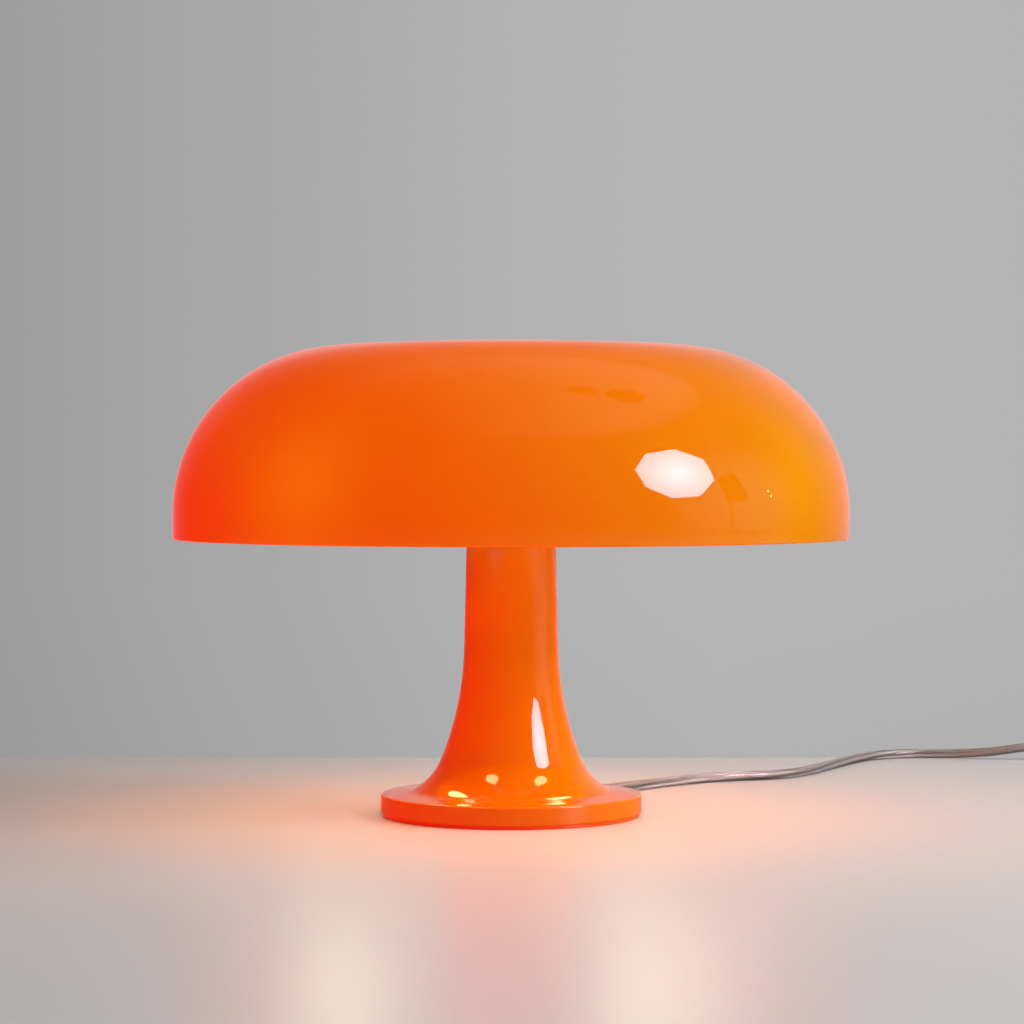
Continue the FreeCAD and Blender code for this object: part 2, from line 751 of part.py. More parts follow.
def cord_route(name, points):
    """Straight runs joined by tangent arcs that are as large as the runs beside them allow."""
    points = [Vector(*p) for p in points]
    edges = []
    radii = []
    here = points[0]
    for before, corner, after in zip(points, points[1:], points[2:]):
        back = before - corner
        ahead = after - corner
        shorter = min(back.Length, ahead.Length)
        back.normalize()
        ahead.normalize()
        reach = 0.45 * shorter
        half_turn = (math.pi - back.getAngle(ahead)) / 2
        radius = reach / math.tan(half_turn)
        start = corner + back * reach
        end = corner + ahead * reach
        inward = (back + ahead).normalize()
        middle = corner + inward * (radius / math.cos(half_turn) - radius)
        edges.append(Part.LineSegment(here, start).toShape())
        edges.append(Part.Arc(start, middle, end).toShape())
        radii.append(round(radius))
        here = end
    edges.append(Part.LineSegment(here, points[-1]).toShape())
    print(name, "radii", radii)
    return Part.Wire(edges)


def lead_route():
    out_x, out_y = on_circle(1, cord_azimuth)
    reach = disc_radius + relief_length
    switch_end = switch_centre[0] - switch_length / 2
    start = (reach * out_x, reach * out_y, relief_end_height)
    first = (start[0] + relief_run * out_x, start[1] + relief_run * out_y, relief_end_height)
    last = (switch_end - switch_run, switch_centre[1], switch_height / 2)
    end = (switch_end, switch_centre[1], switch_height / 2)
    return cord_route("lead", [start, first] + lead_points + [last, end])


def tail_route():
    switch_end = switch_centre[0] + switch_length / 2
    start = (switch_end, switch_centre[1], switch_height / 2)
    first = (switch_end + relief_run, switch_centre[1], switch_height / 2)
    coil_x = coil_centre[0] + coil_outer_radius
    coil_y = coil_centre[1] + 2 * cord_radius
    before = (coil_x, coil_y + coil_run_in, coil_height)
    return cord_route("tail", [start, first] + tail_points + [before, (coil_x, coil_y, coil_height)])


def half_turn(start, radius, side, rise):
    """Half a turn clockwise from start. A rise tilts the half circle about its middle."""
    end = Vector(start.x - side * 2 * radius, start.y, start.z + rise)
    reach = math.sqrt(radius ** 2 + rise ** 2 / 4)
    middle = Vector((start.x + end.x) / 2, start.y - side * reach, (start.z + end.z) / 2)
    first = Vector(start.x, start.y, start.z)
    return Part.Arc(first, middle, end).toShape(), end


def coil_route():
    """A spiral in on the lower layer, half a turn that climbs, and a spiral out on the upper one."""
    step = coil_pitch / 2
    radii = [coil_outer_radius - step * i for i in range(coil_half_turns)]
    turns = [(radius, 0.0) for radius in radii]
    turns.append((coil_outer_radius - step * coil_half_turns, coil_rise))
    turns += [(radius, 0.0) for radius in reversed(radii[1:])]
    here = Vector(coil_centre[0] + coil_outer_radius, coil_centre[1], coil_height)
    straight = Vector(0, 2 * cord_radius, 0)
    edges = [Part.LineSegment(here + straight, here).toShape()]
    side = 1
    for radius, rise in turns:
        edge, end = half_turn(here, radius, side, rise)
        edges.append(edge)
        here = end
        side = -side
    edges.append(Part.LineSegment(here, here - straight).toShape())
    return Part.Wire(edges), here - straight


def print_least_gap(route):
    """The least distance between two points of the coil that are well apart along it."""
    count = int(route.Length / 2.5)
    points = route.discretize(Number=count)
    spacing = route.Length / (count - 1)
    skip = int(6 * cord_radius / spacing) + 1
    least = min(points[i].distanceToPoint(points[j])
                for i in range(count) for j in range(i + skip, count))
    print("coil: least gap to itself %.2f" % (least - 2 * cord_radius))


def coil_tie():
    """A band round all the turns, at the coil's back, where each layer has every second radius."""
    step = coil_pitch / 2
    outermost = coil_outer_radius - step + cord_radius
    innermost = coil_outer_radius - step * (coil_half_turns - 1) - cord_radius
    aside = tie_width / 2 + step
    sag = innermost - math.sqrt(innermost ** 2 - aside ** 2)
    low_y = coil_centre[1] + innermost - sag - body_gap
    high_y = coil_centre[1] + outermost + body_gap
    low_z = coil_height - cord_radius - body_gap
    high_z = coil_height + coil_rise + cord_radius + body_gap
    t = tie_thickness
    left = coil_centre[0] - tie_width / 2
    right = coil_centre[0] + tie_width / 2
    outer = block((left, low_y - t, low_z - t), (right, high_y + t, high_z + t))
    inner = block((left - 1, low_y, low_z), (right + 1, high_y, high_z))
    return outer.cut(inner)


def plug_lead_route(start):
    """From the end of the coil down to the plug's tail."""
    height = plug_thickness / 2
    start_down, down, end = (start.y - run for run in plug_runs)
    return cord_route("plug lead", [(start.x, start.y, start.z), (start.x, start_down, start.z),
                                    (start.x, down, height), (start.x, end, height)])


# ---- Switch on the cord ----
def switch_slab(bottom, top):
    """The switch's outline from above, widest at the middle, as a slab."""
    half = switch_length / 2
    flat = switch_flat_length / 2
    wide = switch_width / 2
    narrow = switch_end_width / 2
    end = switch_end_rounding
    side = switch_side_rounding
    wire = rounded([(-half, -narrow, end), (-flat, -wide, side), (flat, -wide, side), (half, -narrow, end),
                    (half, narrow, end), (flat, wide, side), (-flat, wide, side), (-half, narrow, end)])
    upright = FreeCAD.Rotation(Vector(1, 0, 0), 90)
    slab = Part.Face(wire).extrude(Vector(0, top - bottom, 0))
    return moved(slab, FreeCAD.Placement(Vector(switch_centre[0], switch_centre[1], bottom), upright))


def rounded_slab(bottom, top, at):
    slab = switch_slab(bottom, top)
    edges = [e for e in slab.Edges
             if abs(e.BoundBox.ZMin - at) < 0.01 and abs(e.BoundBox.ZMax - at) < 0.01]
    return slab.makeFillet(switch_rounding, edges)


def rocker_room(bottom, top):
    x, y = switch_centre
    long = rocker_radius + body_gap
    wide = rocker_width / 2 + body_gap
    return block((x - long, y - wide, bottom), (x + long, y + wide, top))


def switch_base():
    seam = switch_height / 2
    body = rounded_slab(0, seam, 0)
    floor = rocker_pivot_height - rocker_radius - 1
    recess_top = screw_head_height + bolt_gap
    holes = []
    for side in (-1, 1):
        x = switch_centre[0] + side * switch_screw_spacing / 2
        holes.append(cylinder(screw_radius + bolt_gap, 0, seam + 1, x, switch_centre[1]))
        holes.append(cylinder(screw_head_radius + bolt_gap, -1, recess_top, x, switch_centre[1]))
    return body.cut(holes + [rocker_room(floor, seam + 1)])


def switch_top():
    seam = switch_height / 2
    body = rounded_slab(seam, switch_height, switch_height)
    x, y = switch_centre
    reach = rocker_width / 2 + axle_length + body_gap
    bore = Part.makeCylinder(axle_radius + axle_clearance, 2 * reach,
                             Vector(x, y - reach, rocker_pivot_height), Vector(0, 1, 0))
    pilots = [cylinder(screw_radius + bolt_gap, seam - 1, seam + switch_screw_length / 2,
                       x + side * switch_screw_spacing / 2, y) for side in (-1, 1)]
    return body.cut([rocker_room(seam - 1, switch_height + 1), bore] + pilots)


def switch_screws():
    """They come up from recesses under the switch."""
    head = screw_head_height + bolt_gap
    return group([screw_up(switch_centre[0] + side * switch_screw_spacing / 2, switch_centre[1],
                           head, switch_screw_length) for side in (-1, 1)])


def switch_rocker():
    """A dished key between two arcs about its pivot, on two stub axles, tilted to its on side."""
    crest_x = math.sqrt(rocker_radius ** 2 - rocker_crest ** 2)
    foot_x = math.sqrt(rocker_radius ** 2 - rocker_depth ** 2)
    wire = outline((-foot_x, -rocker_depth), [
        (foot_x, -rocker_depth), ((rocker_radius, 0), (crest_x, rocker_crest)),
        ((0, rocker_dish), (-crest_x, rocker_crest)), ((-rocker_radius, 0), (-foot_x, -rocker_depth))])
    key = Part.Face(wire).extrude(Vector(0, rocker_width, 0))
    key.translate(Vector(0, -rocker_width / 2, 0))
    reach = rocker_width / 2 + axle_length
    axle = Part.makeCylinder(axle_radius, 2 * reach, Vector(0, -reach, 0), Vector(0, 1, 0))
    tilt = FreeCAD.Rotation(Vector(0, 1, 0), rocker_tilt)
    place = FreeCAD.Placement(Vector(switch_centre[0], switch_centre[1], rocker_pivot_height), tilt)
    return moved(key.fuse(axle), place)


# ---- Plug ----
def plug_section(y, width, height, corner, middle):
    """A rounded rectangle square to Y, about (0, middle)."""
    wide = width / 2
    high = height / 2
    wire = rounded([(-wide, middle - high, corner), (wide, middle - high, corner),
                    (wide, middle + high, corner), (-wide, middle + high, corner)])
    return moved(wire, FreeCAD.Placement(Vector(0, y, 0), FreeCAD.Rotation()))


def plug_body(start):
    """From a slim tail over the cord to the wide flat front that carries the pins."""
    middle = plug_thickness / 2
    corner = plug_rounding
    sections = [plug_section(0, plug_tail_width, plug_tail_height, corner, middle),
                plug_section(plug_neck_length, plug_neck_width, plug_neck_height, corner, middle),
                plug_section(plug_shoulder_length, plug_width, plug_thickness, corner, middle),
                plug_section(plug_length, plug_width, plug_thickness, corner, middle)]
    solid = Part.makeLoft(sections, True, True)
    forward = FreeCAD.Rotation(Vector(0, 0, 1), 180)
    return moved(solid, FreeCAD.Placement(Vector(start[0], start[1], 0), forward))


def plug_pins(start):
    pin = turned([(0, 0), (pin_radius, 0), (pin_radius, pin_length - pin_chamfer),
                  (pin_radius - pin_chamfer, pin_length), (0, pin_length)])
    forward = FreeCAD.Rotation(Vector(1, 0, 0), 90)
    return group([moved(pin, FreeCAD.Placement(
        Vector(start[0] + side * pin_spacing / 2, start[1] - plug_length, plug_thickness / 2), forward))
        for side in (-1, 1)])


# ---- Everything together ----
def build():
    os.makedirs("parts", exist_ok=True)
    export("shade", shade())
    export("stem_and_base", stem_and_base())
    export("base_cover", base_cover())
    export("foot_ring", foot_ring())
    export("ballast_ring", ballast_ring())
    export("base_screws", base_screws())
    export("cord_gland", cord_gland())
    export("inner_cord", inner_cord())
    export("cord_clamp", cord_clamp())
    export("clamp_screws", clamp_screws())
    export("cluster_hub", cluster_hub())
    export("hub_cover", hub_cover())
    export("stem_tube", stem_tube())
    export("tube_nuts", tube_nuts())
    export("stem_washer", stem_washer())
    export("terminal_block", terminal_block())
    export("holder_tubes", holder_tubes())
    export("holder_nuts", holder_nuts())
    export("holder_wires", holder_wires())
    export("centre_contacts", centre_contacts())
    along_holder = {"holder_body": holder_body(), "holder_insert": holder_insert(),
                    "screw_shell": screw_shell(), "bulb_tip": bulb_tip(),
                    "bulb_cap": bulb_cap(), "bulb_glass": bulb_glass()}
    for name, shape in along_holder.items():
        for i, azimuth in enumerate(holder_azimuths):
            export("%s_%d" % (name, i + 1), laid_out(shape, azimuth, bulb_axis_height))
    export("seat_tube", seat_tube())
    export("shade_seat", shade_seat())
    export("seat_pad", seat_pad())
    export("cord_lead", tube(lead_route()))
    export("switch_base", switch_base())
    export("switch_top", switch_top())
    export("switch_screws", switch_screws())
    export("switch_rocker", switch_rocker())
    export("cord_tail", tube(tail_route()))
    route, coil_end = coil_route()
    print_least_gap(route)
    export("cord_coil", tube(route))
    export("coil_tie", coil_tie())
    plug_lead = plug_lead_route(coil_end)
    export("cord_plug_lead", tube(plug_lead))
    plug_start = (coil_end.x, plug_lead.BoundBox.YMin)
    export("plug_body", plug_body(plug_start))
    export("plug_pins", plug_pins(plug_start))


build()
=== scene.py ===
import math

import bpy
import numpy as np
from mathutils import Matrix, Vector


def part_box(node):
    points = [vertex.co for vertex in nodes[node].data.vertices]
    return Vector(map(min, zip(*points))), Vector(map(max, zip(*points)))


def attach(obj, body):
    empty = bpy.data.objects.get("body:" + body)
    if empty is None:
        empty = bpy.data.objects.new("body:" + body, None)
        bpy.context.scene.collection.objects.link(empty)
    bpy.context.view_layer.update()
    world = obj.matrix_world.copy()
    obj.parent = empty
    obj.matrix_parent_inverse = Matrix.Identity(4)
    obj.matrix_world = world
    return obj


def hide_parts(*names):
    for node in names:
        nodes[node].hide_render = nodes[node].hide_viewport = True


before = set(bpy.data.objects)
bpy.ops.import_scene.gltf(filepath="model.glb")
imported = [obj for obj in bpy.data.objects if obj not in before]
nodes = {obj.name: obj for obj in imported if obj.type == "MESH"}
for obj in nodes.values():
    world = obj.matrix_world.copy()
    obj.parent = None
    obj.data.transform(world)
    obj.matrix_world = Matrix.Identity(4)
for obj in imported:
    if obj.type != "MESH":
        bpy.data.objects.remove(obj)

scene = bpy.context.scene
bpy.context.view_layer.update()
mm = 0.001
bulbAzimuths = (55.0, 145.0, 235.0, 325.0)


# the settings that a line of words names
def those(settings, words):
    return [settings[word] for word in words.split()]


def newObject(name, data):
    item = bpy.data.objects.new(name, data)
    scene.collection.objects.link(item)
    return item


cameraView = {
    "sensor": 36.0,
    "lens": 105.77,
    "distance": 1.430,       # in front of the lamp's axis
    "height": 0.16565,
    "shift": (0.0008, -0.0447),
    "clip": (0.05, 50.0),
}


def makeCamera(look):
    data = bpy.data.cameras.new("tableView")
    data.sensor_width = look["sensor"]
    data.lens = look["lens"]
    data.shift_x, data.shift_y = look["shift"]
    data.clip_start, data.clip_end = look["clip"]
    camera = newObject("tableView", data)
    camera.location = (0.0, -look["distance"], look["height"])
    camera.rotation_euler = (math.pi / 2, 0.0, 0.0)
    scene.camera = camera
    scene.view_settings.view_transform = "Standard"


makeCamera(cameraView)
print("camera set")

cordSizes = {
    "radius": 2.5 * mm,
    "wireRadius": 1.12 * mm,
    "wireOffset": 1.12 * mm,     # of each conductor from the middle of the cord
    "wirePitch": 240.0 * mm,     # of the two conductors round each other
    "strandPitch": 130.0 * mm,   # of the fine strands in each conductor
    "strandsRound": 12,
    "lobeDepth": 0.07,           # of a strand, as a share of the conductor's radius
    "ringSpacing": 1.5 * mm,
    "wireSides": 36,
    "stepsAlong": 12,
    "stepsAround": 6,
}

# points that the cord passes near, in millimetres: from the relief to the switch
leadRoute = [
    (42.95, 74.39, 3.4), (51.95, 89.98, 3.4), (66.5, 108.5, 2.6), (82, 127.5, 2.6), (99, 143.5, 2.6),
    (117.5, 153, 2.6), (135.5, 158, 2.6), (150.5, 169, 2.6), (161.5, 186.5, 2.6), (171.5, 208, 2.6),
    (183, 232, 2.6), (195, 255.5, 2.6), (210, 272.5, 2.6), (230.5, 279, 2.6), (253, 277, 2.6),
    (274.5, 271, 4.4), (295, 268, 8), (315, 268, 8),
]
# from the switch to the coil
tailRoute = [
    (375, 268, 8), (393, 268, 8), (410.5, 258, 7), (420.5, 240.7, 5.6), (419.5, 218.5, 4.3),
    (410.5, 196.5, 3.6), (396.5, 169, 3.4), (396.5, 150, 3.4),
]
# from the coil to the plug
plugRoute = [(396.5, 128, 8.85), (396.5, 121, 8.85), (396.5, 105, 6.85), (396.5, 91, 6.85)]

coilSizes = {
    "centre": (360.0, 140.0),
    "outerRadius": 36.5,
    "halfTurns": 6,          # in each of the two layers
    "pitch": 5.5,            # from turn to turn
    "lowHeight": 3.4,
    "highHeight": 8.85,
    "pointsPerHalfTurn": 8,
}


# the spiral: each half turn is a half circle of its own radius about a middle that steps from side to side,
# and the corner points stand a little outside it, so that the smooth curve that cuts them runs on it
def coilPoints(sizes):
    outer, lower, upper, count = those(sizes, "outerRadius lowHeight highHeight pointsPerHalfTurn")
    step = sizes["pitch"] / 2
    radii = [outer - step * i for i in range(sizes["halfTurns"])]
    turns = [(radius, lower, lower) for radius in radii]
    turns.append((radii[-1] - step, lower, upper))
    turns += [(radius, upper, upper) for radius in reversed(radii[1:])]
    share = (np.arange(count) + 0.5) / count
    spread = 2 / (1 + math.cos(math.pi / count))
    startX = sizes["centre"][0] + outer
    points = []
    side = 1
    for radius, low, high in turns:
        reach = side * radius * spread
        x = startX - side * radius + reach * np.cos(-math.pi * share)
        y = sizes["centre"][1] + reach * np.sin(-math.pi * share)
        points += list(zip(x, y, low + (high - low) * share))
        startX -= side * 2 * radius
        side = -side
    return points


def vertexPlaces(mesh):
    places = np.zeros(len(mesh.vertices) * 3)
    mesh.vertices.foreach_get("co", places)
    return places.reshape(-1, 3)


# a smooth curve guided by the route's points, each of which pulls it near
def cordCurve(name, route, sizes, bevelled=True):
    curve = bpy.data.curves.new(name, "CURVE")
    curve.dimensions = "3D"
    curve.resolution_u = sizes["stepsAlong"]
    curve.bevel_depth = sizes["radius"] if bevelled else 0.0
    curve.bevel_resolution = sizes["stepsAround"]
    curve.use_fill_caps = True
    spline = curve.splines.new("NURBS")
    spline.points.add(len(route) - 1)
    points = np.ones((len(route), 4))
    points[:, :3] = np.array(route) * mm
    spline.points.foreach_set("co", points.ravel())
    spline.order_u = 3
    spline.use_endpoint_u = True
    return newObject(name, curve)


# the curve's own line, evened out to one point each ringSpacing
def cordLine(route, sizes):
    bare = cordCurve("bareLine", route, sizes, bevelled=False)
    bpy.context.view_layer.update()
    mesh = bpy.data.meshes.new_from_object(bare.evaluated_get(bpy.context.evaluated_depsgraph_get()))
    line = vertexPlaces(mesh)
    bpy.data.meshes.remove(mesh)
    bpy.data.objects.remove(bare)
    run = np.concatenate([[0], np.cumsum(np.linalg.norm(np.diff(line, axis=0), axis=1))])
    even = np.linspace(0, run[-1], int(run[-1] / sizes["ringSpacing"]) + 1)
    return np.stack([np.interp(even, run, line[:, k]) for k in range(3)], axis=1), even


def meshObject(name, points, faces, material):
    mesh = bpy.data.meshes.new(name)
    mesh.from_pydata(points, [], faces)
    mesh.materials.append(material)
    return newObject(name, mesh)


sharpDegrees = 35.0     # an edge that turns by more than this shows sharp


def meshPiece(name, points, faces, material, body):
    piece = meshObject(name, points.tolist(), faces, material)
    piece.data.update()
    piece.data.shade_smooth()
    piece.data.set_sharp_from_angle(angle=math.radians(sharpDegrees))
    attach(piece, body)
    return piece


# a number for each point of a piece, which its finish reads
def markPoints(piece, name, values):
    mark = piece.data.attributes.new(name, "FLOAT", "POINT")
    mark.data.foreach_set("value", values.astype(np.float32))


def placed(points, place):
    return points @ np.array(place.to_3x3()).T + np.array(place.translation)


def anglesRound(count):
    return np.arange(count) * 2 * math.pi / count


# points round the upright axis at the angles of turn: a radius and height for each ring, or for each point
def ringsRound(radius, height, turn):
    radius, height = np.broadcast_arrays(radius + 0 * turn, height)
    return np.stack([radius * np.cos(turn), radius * np.sin(turn), height], axis=-1)


def unit(vectors):
    return vectors / np.linalg.norm(vectors, axis=-1, keepdims=True)


# 0 at low and before it, 1 at high and after it, even between them; low may be the greater of the two
def shareBetween(values, low, high):
    return np.clip((values - low) / (high - low), 0.0, 1.0)


# quads between neighbouring rings of a grid, turned so that they face away from the axis as the rings go up
def gridFaces(ringCount, around, closed):
    here, side = np.meshgrid(np.arange(ringCount if closed else ringCount - 1), np.arange(around), indexing="ij")
    above = (here + 1) % ringCount
    beside = (side + 1) % around
    quads = np.stack([here * around + side, here * around + beside,
                      above * around + beside, above * around + side], axis=-1)
    return quads.reshape(-1, 4).tolist()


# a fan from a pole to a ring
def fanFaces(pole, firstOfRing, around, upward):
    turn = np.arange(around)
    beside = (turn + 1) % around
    fan = [np.full(around, pole), firstOfRing + turn, firstOfRing + beside]
    if not upward:
        fan = [fan[0], fan[2], fan[1]]
    return np.stack(fan, axis=-1).tolist()


# rings of points joined in turn: a pole's fan closes its end, and a closed band's last ring meets its first
def ringsMesh(rings, startPole=None, endPole=None, closed=False):
    count, around = rings.shape[:2]
    points = rings.reshape(-1, 3)
    faces = gridFaces(count, around, closed)
    if startPole is not None:
        faces += fanFaces(len(points), 0, around, upward=False)
        points = np.vstack([points, startPole])
    if endPole is not None:
        faces += fanFaces(len(points), (count - 1) * around, around, upward=True)
        points = np.vstack([points, endPole])
    return points, faces


# a turned surface: a profile point (r, h) at angle t stands at (r cos t, r sin t, h)
# the profile runs with the solid on its left, and a point on the axis becomes a pole
def turnedPiece(name, profile, material, body, around, place=None):
    profile = np.array(profile, float) * mm
    first, last = (int(end[0] < 1e-7) for end in (profile[0], profile[-1]))
    rings = profile[first:len(profile) - last]
    poles = [[0, 0, end[1]] if used else None for used, end in ((first, profile[0]), (last, profile[-1]))]
    points, faces = ringsMesh(ringsRound(rings[:, :1], rings[:, 1:], anglesRound(around)), *poles,
                              closed=not (first or last))
    if place is not None:
        points = placed(points, place)
    return meshPiece(name, points, faces, material, body)


# points on a circle in the profile's plane, from one angle to another, in radians from the outward direction
def arcPoints(centre, radius, start, end, count):
    angle = np.linspace(start, end, count)
    return np.stack([centre[0] + radius * np.cos(angle), centre[1] + radius * np.sin(angle)], axis=-1)


# a profile through (r, h) corners; a third value rounds its corner off with a tangent arc
def roundedProfile(corners, steps=6):
    runs = []
    for i, corner in enumerate(corners):
        here = np.array(corner[:2], float)
        if len(corner) == 2:
            runs.append(here[None, :])
            continue
        back = unit(np.array(corners[i - 1][:2]) - here)
        ahead = unit(np.array(corners[(i + 1) % len(corners)][:2]) - here)
        half = math.acos(back @ ahead) / 2
        centre = here + unit(back + ahead) * corner[2] / math.sin(half)
        first, last = (here + way * corner[2] / math.tan(half) - centre for way in (back, ahead))
        start = math.atan2(first[1], first[0])
        sweep = (math.atan2(last[1], last[0]) - start + math.pi) % (2 * math.pi) - math.pi
        runs.append(arcPoints(centre, corner[2], start, start + sweep, steps))
    return np.vstack(runs)


# for a piece that points outwards from the lamp's axis: made along Z, then laid level at an azimuth and a height
def laidOut(azimuth, height):
    return (Matrix.Translation((0, 0, height * mm)) @ Matrix.Rotation(math.radians(azimuth), 4, "Z")
            @ Matrix.Rotation(math.radians(90), 4, "Y"))


# directions square to a line at each of its points: one level, one as upright as the line allows
def squareTo(line):
    along = unit(np.gradient(line, axis=0))
    side = unit(np.cross(along, [0, 0, 1.0]))
    return side, np.cross(side, along)


# a tube along a line: at each point a ring square to the line, with a radius for each of its corners
def tubeMesh(line, radius):
    side, up = squareTo(line)
    angle = anglesRound(radius.shape[1])
    rings = (line[:, None, :] + radius[..., None] * (np.cos(angle)[None, :, None] * side[:, None, :]
                                                     + np.sin(angle)[None, :, None] * up[:, None, :]))
    return ringsMesh(rings, line[0], line[-1])


# a value, or another node's output, put into a socket
def feed(tree, socket, value):
    if isinstance(value, bpy.types.NodeSocket):
        tree.links.new(value, socket)
    else:
        socket.default_value = value


def addNode(tree, kind, **values):
    node = tree.nodes.new(kind)
    for key, value in values.items():
        if key in node.inputs:
            feed(tree, node.inputs[key], value)
        else:
            setattr(node, key, value)
    return node


def give(tree, node, values):
    for name, value in values.items():
        feed(tree, node.inputs[name], value)


# two values worked into one, or two vectors with the family ShaderNodeVectorMath
def combined(tree, kind, first, second, family="ShaderNodeMath", result=0):
    node = addNode(tree, family, operation=kind)
    feed(tree, node.inputs[0], first)
    feed(tree, node.inputs[1], second)
    return node.outputs[result]


# how far a direction points towards another, from -1 to 1
def facing(tree, direction, other):
    return combined(tree, "DOT_PRODUCT", direction, other, "ShaderNodeVectorMath", "Value")


mixSockets = {"FLOAT": (2, 3, 0), "RGBA": (6, 7, 2)}     # first, second and result


# from the first colour or number to the second by a mask
def mixed(tree, mask, first, second, kind="RGBA", blend="MIX"):
    node = addNode(tree, "ShaderNodeMix", data_type=kind, blend_type=blend)
    low, high, result = mixSockets[kind]
    for index, value in ((0, mask), (low, first), (high, second)):
        feed(tree, node.inputs[index], (*value, 1.0) if isinstance(value, tuple) else value)
    return node.outputs[result]


# a value carried from one range to another, and held at its ends
def stretched(tree, source, to, start=(0.0, 1.0)):
    return addNode(tree, "ShaderNodeMapRange", **{"Value": source, "From Min": start[0], "From Max": start[1],
                                                  "To Min": to[0], "To Max": to[1]}).outputs[0]


# a ramp over a source between -1 and 1: each stop is a place and its grey or its colour
def ramped(tree, source, stops):
    ramp = addNode(tree, "ShaderNodeValToRGB", Fac=stretched(tree, source, (0.0, 1.0), (-1.0, 1.0)))
    elements = ramp.color_ramp.elements
    while len(elements) < len(stops):
        elements.new(0.5)
    for element, (at, tone) in zip(elements, stops):
        element.position = at / 2 + 0.5
        element.color = (*tone, 1.0) if isinstance(tone, tuple) else (tone, tone, tone, 1.0)
    return ramp.outputs["Color"]


def noise(tree, place, scale, detail, roughness, distortion=0.0):
    return addNode(tree, "ShaderNodeTexNoise", Vector=place, Scale=scale, Detail=detail, Roughness=roughness,
                   Distortion=distortion).outputs["Fac"]


def bumped(tree, height, strength, distance):
    return addNode(tree, "ShaderNodeBump", Height=height, Strength=strength, Distance=distance).outputs["Normal"]


def newGroup(name, inputs, outputs):
    group = bpy.data.node_groups.new(name, "ShaderNodeTree")
    for label, default in inputs.items():
        socket = group.interface.new_socket(name=label, in_out="INPUT", socket_type="NodeSocketFloat")
        socket.default_value = default
    for label in outputs:
        group.interface.new_socket(name=label, in_out="OUTPUT", socket_type="NodeSocketFloat")
    place = addNode(group, "ShaderNodeTexCoord").outputs["Object"]
    return group, place, group.nodes.new("NodeGroupInput").outputs, group.nodes.new("NodeGroupOutput")


# soft clouds cut up by thin streaks, as finger marks leave on a smooth surface
def handlingGroup():
    group, place, given, result = newGroup("handling", {"Scale": 12.0, "Cover": 0.5}, ["Smears"])
    clouds = noise(group, place, given["Scale"], detail=5.0, roughness=0.6, distortion=0.8)
    finer = combined(group, "MULTIPLY", given["Scale"], 6.0)
    streaks = noise(group, place, finer, detail=3.0, roughness=0.5)
    thick = stretched(group, clouds, (0.0, 1.0), (given["Cover"], 0.85))
    give(group, result, {"Smears": combined(group, "MULTIPLY", thick, streaks)})
    return group


# the fine grain of a moulded or cast surface, and slow waves under it
def grainGroup():
    group, place, given, result = newGroup("grain", {"Scale": 400.0, "Waves": 0.3}, ["Height", "Tone"])
    fine = noise(group, place, given["Scale"], detail=4.0, roughness=0.65)
    coarser = combined(group, "MULTIPLY", given["Scale"], 0.05)
    slow = noise(group, place, coarser, detail=2.0, roughness=0.5)
    give(group, result, {"Height": mixed(group, given["Waves"], fine, slow, kind="FLOAT"), "Tone": slow})
    return group


# fine lines round or along a machined or drawn piece, from noise squeezed along one direction
def machinedGroup():
    group, place, given, result = newGroup("machined", {"Scale": 300.0, "Stretch": 0.04}, ["Lines", "Tarnish"])
    squeeze = addNode(group, "ShaderNodeCombineXYZ", X=given["Stretch"], Y=given["Stretch"], Z=1.0)
    squeezed = combined(group, "MULTIPLY", place, squeeze.outputs[0], "ShaderNodeVectorMath")
    give(group, result, {"Lines": noise(group, squeezed, given["Scale"], detail=3.0, roughness=0.7),
                         "Tarnish": noise(group, place, scale=90.0, detail=5.0, roughness=0.6)})
    return group


handling = handlingGroup()
grain = grainGroup()
machined = machinedGroup()


def groupNode(tree, group, **values):
    return addNode(tree, "ShaderNodeGroup", node_tree=group, **values).outputs


def newFinish(name):
    material = bpy.data.materials.new(name)
    material.use_nodes = True
    return material, material.node_tree, material.node_tree.nodes["Principled BSDF"]


black = (0.0, 0.0, 0.0)

# the plastic is seen half by the light that it throws back and half by a painted glow that stands in for the
# light of the bulbs in it; the glow is painted strongest, and the body colour painted darker, on the side that
# gets least light from outside
orangePlastic = {
    "roughness": (0.012, 0.035),
    "flow": ((0.97, 0.94, 0.9), (1.0, 1.0, 1.0)),    # the body's colour where it flowed, and elsewhere
    "subsurface": 0.3,
    "radius": (1.0, 0.30, 0.04),
    "depth": 0.003,
    "towardsLight": (0.985, -0.05, 0.165),
    "mirroredFrom": (0.18, 0.26),    # how far off gloss starts to show the painted reflection of the glow, and shows it in full
    "towardsUpper": (0.72, 0.0, 0.69),     # the shoulder on that side gets a painted highlight of glow too
    "upperFrom": (0.84, 0.97),
    "paintedShoulderGlow": (0.42, 0.03, 0.02),
    "satinFrom": (0.095, 0.128),     # heights between which the stem turns satin and its painted glow dims, under the shade
    "satinRoughness": 0.26,
    "paintedGlowAtTop": 0.1,        # the share of the painted glow left there, where the bulbs light it from outside
}
